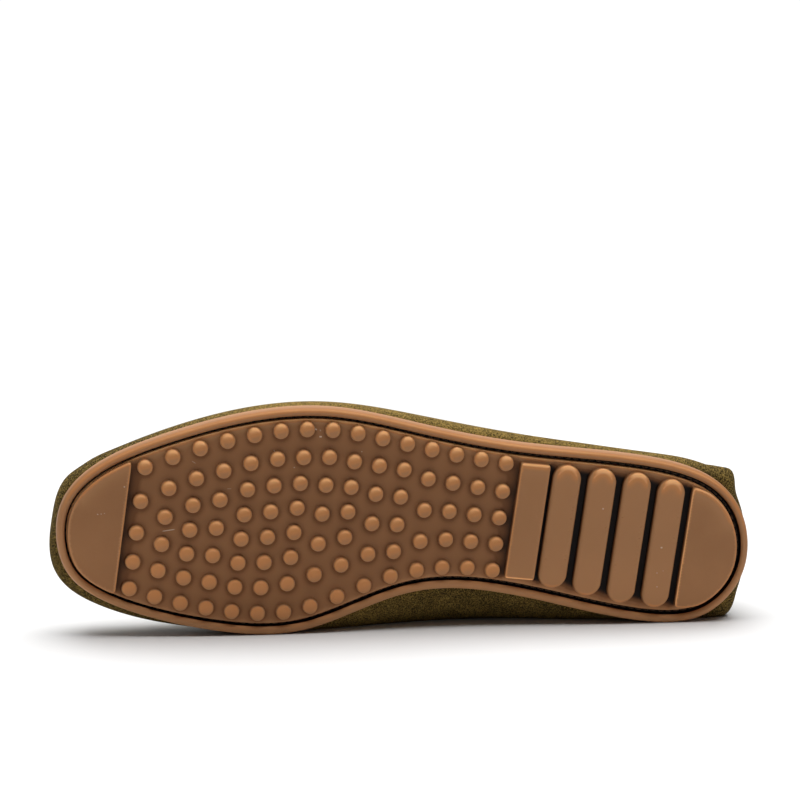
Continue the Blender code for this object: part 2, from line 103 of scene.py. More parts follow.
class StudColumn(NamedTuple):
    """A column of studs: how many, how far they crowd outward and how far they sway to the ends."""

    count: int
    crowd: float
    sway: float


class RimPoint(NamedTuple):
    """A corner of the outsole's profile and how far it is rounded."""

    inset: float
    height: float
    soft: float


class Groove(NamedTuple):
    """The stitch groove at a turn: how far inside the rim it starts and how wide it is."""

    turn: float
    start: float
    width: float


SECTIONS = (
    Section(0, 2.5, 2.0, 9.0), Section(15, 20.9, 2.6, 9.0), Section(30, 34.4, 2.8, 8.0),
    Section(45, 40.5, 0.3, 7.0), Section(60, 41.8, 0.4, 7.0), Section(75, 42.2, 1.8, 7.0),
    Section(90, 46.3, 1.4, 6.5), Section(105, 50.5, 0.0, 6.0), Section(120, 45.3, -0.2, 6.0),
    Section(135, 34.0, -0.2, 6.0), Section(150, 21.6, 0.0, 7.0), Section(165, 7.6, 2.2, 8.0),
    Section(180, -9.0, 1.4, 8.0), Section(195, -27.3, 4.6, 7.0), Section(210, -38.1, 4.6, 6.0),
    Section(225, -44.2, 3.4, 6.0), Section(240, -47.3, 1.6, 6.0), Section(255, -43.2, 4.4, 7.0),
    Section(270, -26.2, 17.2, 14.0), Section(285, -22.2, 17.2, 17.0),
    Section(300, -26.2, 9.4, 13.0), Section(315, -29.3, 3.0, 9.0),
    Section(330, -26.6, 5.4, 7.0), Section(345, -14.4, 5.6, 8.0),
)
CORNERS = (Corner(24.4, 4.5, 3.8), Corner(160.0, -0.6, 4.5), Corner(340.0, 3.4, 5.0))
CREST = (
    Height(0.0, 140.0), Height(20.0, 94.0), Height(50.0, 73.0), Height(85.0, 76.0),
    Height(120.0, 82.0), Height(150.0, 78.0), Height(170.0, 69.0), Height(190.0, 60.0),
    Height(210.0, 52.5), Height(230.0, 46.5), Height(250.0, 42.0), Height(275.0, 38.0),
)
TOPLINE = (
    Height(0.0, 60.0), Height(25.0, 56.0), Height(55.0, 51.5), Height(85.0, 50.5),
    Height(110.0, 53.0), Height(130.0, 58.5), Height(145.0, 65.5), Height(155.0, 69.3),
    Height(166.0, 71.0),
)
RIM = (
    RimPoint(1.0, 7.4, 0.0), RimPoint(0.25, 6.9, 2.0), RimPoint(0.0, 5.9, 2.0),
    RimPoint(0.0, 3.8, 2.0), RimPoint(0.35, 2.5, 2.0), RimPoint(1.15, 1.65, 2.0),
    RimPoint(2.1, 1.4, 2.0), RimPoint(3.05, 1.6, 2.0), RimPoint(3.75, 2.3, 2.0),
    RimPoint(3.9, 3.2, 2.0), RimPoint(3.95, 5.2, 0.3), RimPoint(5.15, 5.2, 0.3),
    RimPoint(5.2, 3.0, 0.1), RimPoint(5.35, 2.8, 0.0),
)
GROOVES = (
    Groove(0, 3.45, 1.80), Groove(45, 3.95, 1.60), Groove(90, 3.95, 1.12),
    Groove(135, 3.85, 0.95), Groove(180, 3.55, 0.60), Groove(225, 3.75, 0.90),
    Groove(270, 3.90, 1.30), Groove(315, 3.90, 1.55),
)
STUD_COLUMNS = (
    StudColumn(5, -0.15, 0.0), StudColumn(6, -0.10, 0.05), StudColumn(7, -0.10, 0.13),
    StudColumn(7, -0.075, 0.0), StudColumn(8, -0.07, 0.07), StudColumn(8, -0.035, 0.04),
    StudColumn(8, 0.025, 0.13), StudColumn(7, 0.11, 0.0), StudColumn(7, 0.09, 0.18),
    StudColumn(6, 0.10, 0.0), StudColumn(6, -0.01, -0.10), StudColumn(5, 0.0, -0.10),
    StudColumn(5, 0.0, 0.0), StudColumn(5, -0.03, 0.0), StudColumn(5, -0.03, 0.04),
)


def ease(values: Floats, start: float, end: float) -> Floats:
    """Returns a smooth step from 0 at start to 1 at end."""
    t = np.clip((values - start) / (end - start), 0.0, 1.0)
    return t * t * (3.0 - 2.0 * t)


def bell(values: Array, width: float) -> Array:
    """Returns a bell curve, which is 1 at 0 and falls off over the width."""
    return np.exp(-(values / width) ** 2)


def even_turns(count: int) -> Array:
    """Returns evenly spaced turns round the shoe, in degrees."""
    return np.linspace(0.0, FULL_TURN, count, endpoint=False)


def circle(sides: int) -> Array:
    """Returns evenly spaced directions round a circle."""
    angles = np.radians(even_turns(sides))
    return np.column_stack([np.cos(angles), np.sin(angles)])


def closed_spline(rows: tuple[Union[Section, Groove], ...], name: str, turns: Array) -> Array:
    """Reads a smooth closed curve through one column of a table.

    Args:
        rows: The table, whose turns are evenly spaced round the shoe.
        name: The column.
        turns: Where to read it, in degrees.

    Returns:
        The curve's value at each turn.
    """
    values = np.array([getattr(row, name) for row in rows])
    count = len(values)
    system = 4.0 * np.eye(count) + np.roll(np.eye(count), 1, 0) + np.roll(np.eye(count), -1, 0)
    curl = np.linalg.solve(system, 6.0 * (np.roll(values, 1) - 2.0 * values + np.roll(values, -1)))
    place = np.mod(turns, FULL_TURN) / (rows[1].turn - rows[0].turn)
    low = np.floor(place).astype(int) % count
    high = (low + 1) % count
    b = place - np.floor(place)
    a = 1.0 - b
    bow = (a ** 3 - a) * curl[low] + (b ** 3 - b) * curl[high]
    return a * values[low] + b * values[high] + bow / 6.0


def smooth_table(rows: tuple[Height, ...], stations: Array) -> Array:
    """Reads a table of heights with a smooth curve through its rows.

    Args:
        rows: The table, by rising station.
        stations: Where to read it.

    Returns:
        The height at each station.
    """
    x, y = np.array(rows).T
    slope = np.gradient(y, x)
    at = np.clip(stations, x[0], x[-1])
    low = np.clip(np.searchsorted(x, at) - 1, 0, len(x) - 2)
    span = x[low + 1] - x[low]
    t = (at - x[low]) / span
    start = (1.0 + 2.0 * t) * (1.0 - t) ** 2 * y[low] + t * (1.0 - t) ** 2 * span * slope[low]
    end = t ** 2 * (3.0 - 2.0 * t) * y[low + 1] + t ** 2 * (t - 1.0) * span * slope[low + 1]
    return start + end


def unit(vectors: Array) -> Array:
    """Returns vectors of length one."""
    return vectors / np.linalg.norm(vectors, axis=-1, keepdims=True)


def outward(loop: Array) -> Array:
    """Returns the outward normals of a loop that runs anticlockwise."""
    along = unit(np.roll(loop, -1, 0) - np.roll(loop, 1, 0))
    return np.column_stack([along[:, 1], -along[:, 0]])


def anticlockwise(loop: Array) -> Array:
    """Returns the loop in anticlockwise order."""
    ahead = np.roll(loop, -1, 0)
    return loop if np.sum(loop[:, 0] * ahead[:, 1] - loop[:, 1] * ahead[:, 0]) > 0.0 else loop[::-1]


def inside(points: Array, loop: Array) -> Array:
    """Says which points lie inside a loop.

    Args:
        points: Points in the plane.
        loop: A closed row of corners.

    Returns:
        One truth value for each point.
    """
    ahead = np.roll(loop, -1, 0)
    x, y = points[:, :1], points[:, 1:2]
    spans = (loop[:, 1] > y) != (ahead[:, 1] > y)
    rise = np.where(ahead[:, 1] == loop[:, 1], 1.0, ahead[:, 1] - loop[:, 1])
    cross = loop[:, 0] + (y - loop[:, 1]) * (ahead[:, 0] - loop[:, 0]) / rise
    return np.sum(spans & (x < cross), axis=1) % 2 == 1


def run_length(paths: Array) -> Array:
    """Returns how far each point lies along its path, for one path or several side by side."""
    steps = np.linalg.norm(np.diff(paths, axis=0), axis=-1)
    return np.concatenate([np.zeros_like(paths[:1, ..., 0]), np.cumsum(steps, axis=0)])


def read_path(at: Floats, run: Array, path: Array) -> Array:
    """Returns the points at some lengths along a path, given the lengths of its own points."""
    return np.stack([np.interp(at, run, column) for column in path.T], axis=-1)


def even_loop(loop: Array, spacing: float) -> Array:
    """Spaces the points of a closed loop evenly.

    Args:
        loop: A closed row of points.
        spacing: About how far apart the new points are.

    Returns:
        The new loop.
    """
    closed = np.vstack([loop, loop[:1]])
    run = run_length(closed)
    at = np.linspace(0.0, run[-1], int(run[-1] / spacing), endpoint=False)
    return read_path(at, run, closed)


def soft_corners(loop: Array, radius: float, spacing: float) -> Array:
    """Rounds the corners of a loop.

    Args:
        loop: A closed row of corners.
        radius: About how far the rounding reaches along each side.
        spacing: Distance between the points of the new loop.

    Returns:
        The rounded loop.
    """
    step = spacing / CORNER_GRAIN
    fine = even_loop(loop, step)
    reach = max(int(radius / step), 1)
    weight = np.cos(np.linspace(-1.0, 1.0, 2 * reach + 1) * QUARTER) ** 2
    padded = np.vstack([fine[-reach:], fine, fine[:reach]])
    soft = [np.convolve(column, weight / weight.sum(), "valid") for column in padded.T]
    return even_loop(np.column_stack(soft), spacing)


def put(name: str, data: bpy.types.ID) -> bpy.types.Object:
    """Puts a new object in the scene.

    Args:
        name: Its name.
        data: Its mesh, lamp or camera.

    Returns:
        The object.
    """
    thing = bpy.data.objects.new(name, data)
    bpy.context.scene.collection.objects.link(thing)
    return thing


@dataclass
class Last:
    """The shape that sole and upper share, and how the shoe lies on the floor."""

    length: float = 290.0
    toe_spring: float = 9.0
    spring_start: float = 195.0
    arch_rise: float = 3.0
    arch_up: Span = (45.0, 115.0)
    arch_down: Span = (115.0, 190.0)
    sole_top: float = 7.4
    piece_gap: float = 0.3
    rim_waist: float = 4.8
    groove_start: float = 3.95
    groove_end: float = 5.15
    rest_lean: float = 4.0
    rest_steps: int = 20
    cad_sections: int = 72
    probe: float = 0.5
    plane: Array = field(init=False)
    rotation: Array = field(init=False)
    shift: Array = field(init=False)

    def __post_init__(self) -> None:
        """Finds how the CAD model lies, so that every point goes to the same place."""
        self.plane, along = self.rest_plane()
        self.rotation = np.stack([-along, np.cross(self.plane, -along), self.plane])
        turns = even_turns(self.cad_sections)
        rings = np.vstack([self.ring(turns, point.inset, point.height) for point in RIM])
        turned = rings @ self.rotation.T
        low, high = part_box("outsole")
        self.shift = np.array([
            low.x / MM - turned[:, 0].min(),
            high.y / MM - turned[:, 1].max(),
            low.z / MM - turned[:, 2].min(),
        ])

    def station(self, turns: Array) -> Array:
        """Returns the station along the sole of each turn."""
        return self.length / 2.0 * (1.0 - np.cos(np.radians(turns)))

    def bend(self, stations: Array) -> Array:
        """Finds how far the sole rises at the arch and at the toe.

        Args:
            stations: Stations along the sole.

        Returns:
            The rise at each.
        """
        spring = (stations - self.spring_start) / (self.length - self.spring_start)
        arch = ease(stations, *self.arch_up) * (1.0 - ease(stations, *self.arch_down))
        return self.toe_spring * np.clip(spring, 0.0, 1.0) ** 2 + self.arch_rise * arch

    def around(self, name: str, turns: Array) -> Array:
        """Reads one column of the sections at the turns given."""
        return closed_spline(SECTIONS, name, turns)

    def corner_reach(self, turns: Array) -> Array:
        """Returns how far the corners stand out of the sections' smooth outline."""
        return sum(corner.reach * bell(turns - corner.turn, corner.spread) for corner in CORNERS)

    def rim_edge(self, turns: Array) -> tuple[Array, Array]:
        """Finds the rim's outline.

        Args:
            turns: Where to read it.

        Returns:
            Its points and its outward normals.
        """
        behind, edge, ahead = (
            np.column_stack([self.station(at), self.around("edge", at)])
            for at in (turns - self.probe, turns, turns + self.probe)
        )
        along = unit(ahead - behind)
        return edge, np.column_stack([-along[:, 1], along[:, 0]])

    def ring(self, turns: Array, inset: Floats, height: float) -> Array:
        """Returns a ring inside the rim's outline at a height above the tread."""
        edge, normal = self.rim_edge(turns)
        return self.lift(edge - np.reshape(inset, (-1, 1)) * normal, height)

    def true_inset(self, turns: Array, inset: float) -> Array:
        """Moves an inset of the profile where the groove is narrower or wider than in the profile.

        Args:
            turns: Where to read it.
            inset: The inset in the profile.

        Returns:
            The inset at each turn.
        """
        start, width = (closed_spline(GROOVES, name, turns) for name in ("start", "width"))
        across = (inset - self.groove_start) / (self.groove_end - self.groove_start)
        bead, beyond = min(inset / self.groove_start, 1.0), max(inset - self.groove_end, 0.0)
        return start * bead + width * np.clip(across, 0.0, 1.0) + beyond

    def lift(self, flat: Array, height: Floats) -> Array:
        """Returns side points at a height above the bent tread."""
        return np.column_stack([flat, height + self.bend(flat[:, 0])])

    def sides(self, inset: float, at: float) -> Span:
        """Finds where an inset outline has its sides at a station.

        Args:
            inset: How far inside the rim's outline it lies.
            at: The station.

        Returns:
            The inner and the outer side position.
        """
        ring = self.ring(even_turns(FINE_STEPS), inset, 0.0)
        half = FINE_STEPS // 2
        inner, outer = ring[:half:-1], ring[1:half]
        return np.interp(at, inner[:, 0], inner[:, 1]), np.interp(at, outer[:, 0], outer[:, 1])

    def rest_plane(self) -> tuple[Array, Array]:
        """Finds how the shoe rests on its rim at ball and heel.

        Returns:
            The floor's normal in the shoe's frame, and its long direction.
        """
        ring = self.ring(even_turns(FINE_STEPS), 0.0, self.rim_waist)
        back = ring[ring[:, 0] < self.length / 2.0]
        front = ring[ring[:, 0] >= self.length / 2.0]
        slope = 0.0
        for _ in range(self.rest_steps):
            heel = back[np.argmin(back[:, 1] - slope * back[:, 0])]
            ball = front[np.argmin(front[:, 1] - slope * front[:, 0])]
            slope = (ball[1] - heel[1]) / (ball[0] - heel[0])
        along = unit(ball - heel)
        tilt = math.radians(self.rest_lean)
        normal = np.array([0.0, math.cos(tilt), math.sin(tilt)])
        return unit(normal - along * (normal @ along)), along

    def lay(self, points: Array) -> Array:
        """Returns points of the shoe's frame on the floor, in metres."""
        return (points @ self.rotation.T + self.shift) * MM

    def over_floor(self, points: Array) -> Array:
        """Returns each point's height over the floor, in millimetres."""
        return points @ self.plane + self.shift[2]


@dataclass
class Draft:
    """Points, faces and point values of a mesh while it is put together."""

    last: Last
    points: list[Array] = field(default_factory=list)
    tone: list[Array] = field(default_factory=list)
    faces: list[tuple[int, ...]] = field(default_factory=list)
    finish: list[int] = field(default_factory=list)
    count: int = 0
    rod_sides: int = 6
    rod_tip: float = 0.4
    rod_across: tuple[float, float, float] = (0.31, 0.17, 0.93)

    def add(self, points: Array, tone: Floats = 0.0) -> Array:
        """Adds points.

        Args:
            points: The points, in the shoe's frame.
            tone: The tone there, which carries painted light and shade.

        Returns:
            The numbers of the new points.
        """
        ids = np.arange(self.count, self.count + len(points))
        self.points.append(points)
        self.tone.append(np.broadcast_to(tone, (len(points),)))
        self.count += len(points)
        return ids

    def at(self, ids: Array) -> Array:
        """Returns points by their numbers."""
        return np.vstack(self.points)[ids]

    def face(self, corners: Array, finish: int = 0) -> None:
        """Adds faces, and drops corners that come twice in one.

        Args:
            corners: A row of point numbers for each face.
            finish: The number of the material.
        """
        for row in np.asarray(corners).tolist():
            kept = tuple(dict.fromkeys(row))
            if len(kept) > 2:
                self.faces.append(kept)
                self.finish.append(finish)

    def band(self, low: Array, high: Array, closed: bool = True, finish: int = 0) -> None:
        """Adds the quads between two rows of points."""
        quads = np.column_stack([low, np.roll(low, -1), np.roll(high, -1), high])
        self.face(quads if closed else quads[:-1], finish)

    def loft(self, rows: list[Array], closed: bool = True) -> None:
        """Adds the bands between rows of points, one after another."""
        for low, high in zip(rows, rows[1:]):
            self.band(low, high, closed)

    def fan(self, ring: Array, tip: Array, tone: float = 0.0) -> None:
        """Closes a ring with triangles to a new point."""
        centre = np.full(len(ring), self.add(tip[None], tone)[0])
        self.face(np.column_stack([ring, np.roll(ring, -1), centre]))

    def lid(self, ring: Array) -> None:
        """Closes a ring round the shoe with faces that run from side to side.

        Args:
            ring: Its point numbers.
        """
        half = len(ring) // 2
        self.face([(ring[0], ring[1], ring[-1]), (ring[half - 1], ring[half], ring[half + 1])])
        self.face([(ring[k], ring[k + 1], ring[-k - 1], ring[-k]) for k in range(1, half - 1)])

    def fill(self, loops: list[Array], inner: Array) -> None:
        """Fills the plane between an outer loop and holes in it.

        Args:
            loops: Point numbers of the outer loop and then of each hole, which is convex.
            inner: Point numbers of further points between them.
        """
        ids = np.concatenate([*loops, inner]).astype(int)
        owner = np.repeat([*range(len(loops)), -1], [*map(len, loops), len(inner)])
        edges, first = [], 0
        for loop in loops:
            edges += [(first + k, first + (k + 1) % len(loop)) for k in range(len(loop))]
            first += len(loop)
        flat = self.at(ids)[:, :2]
        made = delaunay_2d_cdt([Vector(point) for point in flat.tolist()], edges, [], 0, CLOSE)
        _, _, triangles, origins, _, _ = made
        corners = np.array([origin[0] for origin in origins])[np.array(triangles)]
        owners = owner[corners]
        same = (owners[:, 0] == owners[:, 1]) & (owners[:, 1] == owners[:, 2])
        in_hole = same & (owners[:, 0] > 0)
        outside = same & (owners[:, 0] == 0)
        outside[outside] = ~inside(flat[corners[outside]].mean(axis=1), flat[:len(loops[0])])
        self.face(ids[corners[~in_hole & ~outside]])

    def rod(self, path: Array, radii: Array) -> None:
        """Adds a closed round rod along a short path.

        Args:
            path: Its middle points.
            radii: Its radius at each.
        """
        along = unit(np.gradient(path, axis=0))
        side = unit(np.cross(along, np.array(self.rod_across)))
        up = np.cross(along, side)
        way = circle(self.rod_sides)
        rings = [self.add(centre + radius * way @ np.stack([across, over]))
                 for centre, radius, across, over in zip(path, radii, side, up)]
        self.loft(rings)
        for end, sign in ((0, -1.0), (-1, 1.0)):
            self.fan(rings[end], path[end] + sign * self.rod_tip * radii[end] * along[end])

    def piece(self, name: str, slot: Slot, *materials: bpy.types.Material) -> bpy.types.Object:
        """Makes the finished piece.

        Args:
            name: Its name.
            slot: The record's slot; not used.
            materials: Its materials, in the order that the faces number them.

        Returns:
            The piece, in the scene and riding on the shoe's body.
        """
        ends = np.cumsum([len(face) for face in self.faces])
        used, compact = np.unique(np.concatenate(self.faces), return_inverse=True)
        faces = [tuple(part.tolist()) for part in np.split(compact, ends[:-1])]
        shoe = self.at(used)
        mesh = bpy.data.meshes.new(name)
        mesh.from_pydata(self.last.lay(shoe).tolist(), [], faces)
        mesh.polygons.foreach_set("material_index", self.finish)
        place = mesh.attributes.new("shoe_mm", "FLOAT_VECTOR", "POINT")
        place.data.foreach_set("vector", shoe.astype(np.float32).ravel())
        tone = mesh.attributes.new("tone", "FLOAT", "POINT")
        tone.data.foreach_set("value", np.concatenate(self.tone)[used].astype(np.float32))
        work = bmesh.new()
        work.from_mesh(mesh)
        bmesh.ops.recalc_face_normals(work, faces=work.faces)
        work.to_mesh(mesh)
        work.free()
        mesh.polygons.foreach_set("use_smooth", [True] * len(mesh.polygons))
        for material in materials:
            mesh.materials.append(material)
        piece = put(name, mesh)
        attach(piece, ROOT)
        return piece


@dataclass(frozen=True)
class Wire:
    """A shader value that Python's operators work on."""

    bench: "Bench"
    socket: bpy.types.NodeSocket

    def __add__(self, other: "Number") -> "Wire":
        """Returns the sum."""
        return self.bench.math("ADD", self, other)

    def __sub__(self, other: "Number") -> "Wire":
        """Returns the difference."""
        return self.bench.math("SUBTRACT", self, other)

    def __rsub__(self, other: "Number") -> "Wire":
        """Returns the difference, the other way round."""
        return self.bench.math("SUBTRACT", other, self)

    def __mul__(self, other: "Number") -> "Wire":
        """Returns the product."""
        return self.bench.math("MULTIPLY", self, other)

    __radd__ = __add__
    __rmul__ = __mul__

    def __abs__(self) -> "Wire":
        """Returns the size without its sign."""
        return self.bench.math("ABSOLUTE", self)

    def step(self, low: float, high: float) -> "Wire":
        """Returns a smooth step from 0 at low to 1 at high."""
        sockets = {"Value": self, "From Min": low, "From Max": high}
        return self.bench.node("ShaderNodeMapRange", {"interpolation_type": "SMOOTHSTEP"}, sockets)

    def part(self, axis: str) -> "Wire":
        """Returns one part of a vector."""
        return self.bench.node("ShaderNodeSeparateXYZ", {}, {"Vector": self}, axis)


Number = Union[Wire, float]
Feed = Union[Wire, float, tuple]


class Noise(NamedTuple):
    """A soft noise: its scale, its detail and how rough it is."""

    scale: float
    detail: float
    rough: float = 0.5


class Bump(NamedTuple):
    """How strongly and how deep, in metres, a height bends a surface."""

    strength: float
    depth: float


@dataclass(frozen=True)
class Bench:
    """The node tree of one material or world."""

    tree: bpy.types.NodeTree
    mix_sockets: tuple[int, int, int] = (0, 6, 7)
    mix_result: int = 2
    noise_middle: float = 0.5

    def __post_init__(self) -> None:
        """Clears the tree."""
        self.tree.nodes.clear()

    def node(self, kind: str, settings: dict, sockets: dict, out: Union[int, str] = 0) -> Wire:
        """Adds a node.

        Args:
            kind: The node's type.
            settings: Its settings, which are set first.
            sockets: Values or wires for its inputs, by name or number.
            out: The output that is wanted.

        Returns:
            That output.
        """
        node = self.tree.nodes.new(kind)
        for key, value in settings.items():
            setattr(node, key, value)
        for key, value in sockets.items():
            if isinstance(value, Wire):
                self.tree.links.new(value.socket, node.inputs[key])
            else:
                node.inputs[key].default_value = value
        return Wire(self, node.outputs[out] if len(node.outputs) else None)

    def math(self, operation: str, *values: Number) -> Wire:
        """Returns the result of a sum on numbers and wires."""
        return self.node("ShaderNodeMath", {"operation": operation}, dict(enumerate(values)))

    def mix(self, share: Number, first: Feed, second: Feed) -> Wire:
        """Mixes two colours.

        Args:
            share: The second one's share.
            first: The first colour.
            second: The second colour.

        Returns:
            The colour between them.
        """
        colours = (value if isinstance(value, Wire) else (*value, 1.0) for value in (first, second))
        sockets = dict(zip(self.mix_sockets, (share, *colours)))
        return self.node("ShaderNodeMix", {"data_type": "RGBA"}, sockets, self.mix_result)

    def scale(self, vector: Wire, factors: Colour) -> Wire:
        """Returns a vector with each part multiplied."""
        return self.node("ShaderNodeVectorMath", {"operation": "MULTIPLY"}, {0: vector, 1: factors})

    def gain(self, colour: Wire, factor: Wire) -> Wire:
        """Returns a colour made brighter or darker."""
        sockets = {0: colour, "Scale": factor}
        return self.node("ShaderNodeVectorMath", {"operation": "SCALE"}, sockets)

    def noise(self, place: Wire, kind: Noise) -> Wire:
        """Returns a soft noise about 0, from -0.5 to 0.5."""
        sockets = dict(zip(("Vector", "Scale", "Detail", "Roughness"), (place, *kind)))
        return self.node("ShaderNodeTexNoise", {}, sockets) - self.noise_middle

    def attribute(self, name: str, out: str) -> Wire:
        """Returns a value stored in the mesh."""
        return self.node("ShaderNodeAttribute", {"attribute_name": name}, {}, out)

    def place(self) -> Wire:
        """Returns the place on the shoe, in millimetres."""
        return self.attribute("shoe_mm", "Vector")

    def bump(self, height: Wire, kind: Bump) -> Wire:
        """Returns a normal that is bent by a height."""
        sockets = {"Strength": kind.strength, "Distance": kind.depth, "Height": height}
        return self.node("ShaderNodeBump", {}, sockets)

    def surface(self, sockets: dict) -> None:
        """Adds the surface shader with its values, and the output."""
        shader = self.node("ShaderNodeBsdfPrincipled", {}, sockets)
        self.node("ShaderNodeOutputMaterial", {}, {"Surface": shader})


def new_material(name: str) -> tuple[bpy.types.Material, Bench]:
    """Starts a material.

    Args:
        name: Its name.

    Returns:
        The material and its bench.
    """
    material = bpy.data.materials.new(name)
    material.use_nodes = True
    return material, Bench(material.node_tree)


class Mark(NamedTuple):
    """A pale scratch or speck on the tread: its middle, its turn in degrees and its half sizes."""

    x: float
    y: float
    turn: float
    half_length: float
    half_width: float
    strength: float


MARKS = (
    Mark(244.7, -6.6, 165.0, 2.9, 0.24, 0.8), Mark(237.4, 22.7, 27.0, 1.0, 0.2, 0.35),
    Mark(221.9, 13.1, 175.0, 1.0, 0.2, 0.3), Mark(274.1, -2.5, 20.0, 0.35, 0.3, 0.6),
    Mark(272.7, -2.2, 0.0, 0.3, 0.3, 0.45), Mark(271.4, -1.8, 0.0, 0.3, 0.25, 0.4),
    Mark(264.5, 10.1, 0.0, 0.35, 0.35, 0.7), Mark(189.1, 40.9, 30.0, 0.5, 0.35, 0.8),
    Mark(187.3, 40.6, 60.0, 0.4, 0.3, 0.5), Mark(186.9, 38.0, 0.0, 0.6, 0.4, 0.9),
    Mark(205.3, 30.6, 0.0, 0.3, 0.3, 0.6), Mark(196.3, 24.3, 0.0, 0.3, 0.3, 0.5),
    Mark(169.1, 33.1, 0.0, 0.3, 0.3, 0.5), Mark(65.5, 18.0, 0.0, 0.4, 0.4, 0.8),
    Mark(38.5, 3.6, 0.0, 0.45, 0.4, 0.95), Mark(39.0, -7.4, 0.0, 0.35, 0.3, 0.6),
    Mark(38.2, -13.3, 0.0, 0.35, 0.3, 0.7), Mark(46.9, 2.3, 0.0, 0.3, 0.25, 0.4),
    Mark(36.5, -6.3, 0.0, 0.3, 0.25, 0.4),
)


class ToneStop(NamedTuple):
    """The rubber's colour at a tone of painted light and shade."""

    tone: float
    colour: Colour


# The stops run from painted black shade at -1, through the plate's brown at 0, to a painted
# highlight at 1.
TONE_STOPS = (
    ToneStop(-1.0, (0.005, 0.0016, 0.0006)),
    ToneStop(-0.3, (0.165, 0.066, 0.024)),
    ToneStop(0.0, (0.272, 0.124, 0.052)),
    ToneStop(0.4, (0.385, 0.188, 0.084)),
    ToneStop(0.6, (0.510, 0.217, 0.080)),
    ToneStop(1.0, (0.92, 0.48, 0.205)),
)


@dataclass(frozen=True)
class GumRubber:
    """Satin gum rubber, coloured by a tone of painted light and shade: -1 painted black shade, 0
    brown, 0.4 tan, 0.6 amber and 1 painted highlight.
    """

    name: str = "gum_rubber"
    dust: Colour = (0.62, 0.48, 0.36)
    # Painted light: the lower side of the tread is brighter, more so at the heel.
    painted_low_light: float = 0.12
    low_span: Span = (-30.0, 10.0)
    painted_heel_light: float = 0.14
    heel_span: Span = (90.0, 160.0)
    cloud: Noise = Noise(0.06, 3.0)
    cloud_tone: float = 0.14
    cloud_roughness: float = 0.12
    grain: Noise = Noise(1.7, 4.0, 0.6)
    grain_tone: float = 0.06
    grain_bump: Bump = Bump(0.12, 0.0001)
    roughness: float = 0.5
    specular: float = 0.12
    scatter: float = 0.1
    scatter_reach: float = 0.0015
    scatter_colour: Colour = (1.0, 0.42, 0.16)
    core_length: float = 0.6
    core_width: float = 0.4

    def make(self) -> bpy.types.Material:
        """Makes the finish.

        Returns:
            The material.
        """
        material, bench = new_material(self.name)
        place = bench.place()
        cloud, grain = bench.noise(place, self.cloud), bench.noise(place, self.grain)
        # The tone attribute carries the painted light and shade; cloud and grain add random tone.
        tone = bench.attribute("tone", "Fac") + cloud * self.cloud_tone + grain * self.grain_tone
        colour = TONE_STOPS[0].colour
        for below, stop in zip(TONE_STOPS, TONE_STOPS[1:]):
            colour = bench.mix(tone.step(below.tone, stop.tone), colour, stop.colour)
        # Painted light: brightens the colour towards the lower side, more at the heel.
        gain = self.painted_low_light + (1.0 - place.part("X").step(*self.heel_span)) * self.painted_heel_light
        colour = bench.gain(colour, 1.0 + (1.0 - place.part("Y").step(*self.low_span)) * gain)
        for mark in MARKS:
            colour = bench.mix(self.mask(place, mark) * mark.strength, colour, self.dust)
        bench.surface({
            "Base Color": colour,
            "Roughness": self.roughness + cloud * self.cloud_roughness,
            "Subsurface Weight": self.scatter,
            "Subsurface Radius": self.scatter_colour,
            "Subsurface Scale": self.scatter_reach,
            "Specular IOR Level": self.specular,
            "Normal": bench.bump(grain, self.grain_bump),
        })
        return material

    def mask(self, place: Wire, mark: Mark) -> Wire:
        """Shows where a mark lies.

        Args:
            place: The place on the shoe.
            mark: The mark.

        Returns:
            1 on the mark and 0 off it.
        """
        x, y = place.part("X") - mark.x, place.part("Y") - mark.y
        c, s = math.cos(math.radians(mark.turn)), math.sin(math.radians(mark.turn))
        along, across = abs(x * c + y * s), abs(y * c - x * s)
        ends = along.step(mark.half_length * self.core_length, mark.half_length)
        sides = across.step(mark.half_width * self.core_width, mark.half_width)
        return (1.0 - ends) * (1.0 - sides)


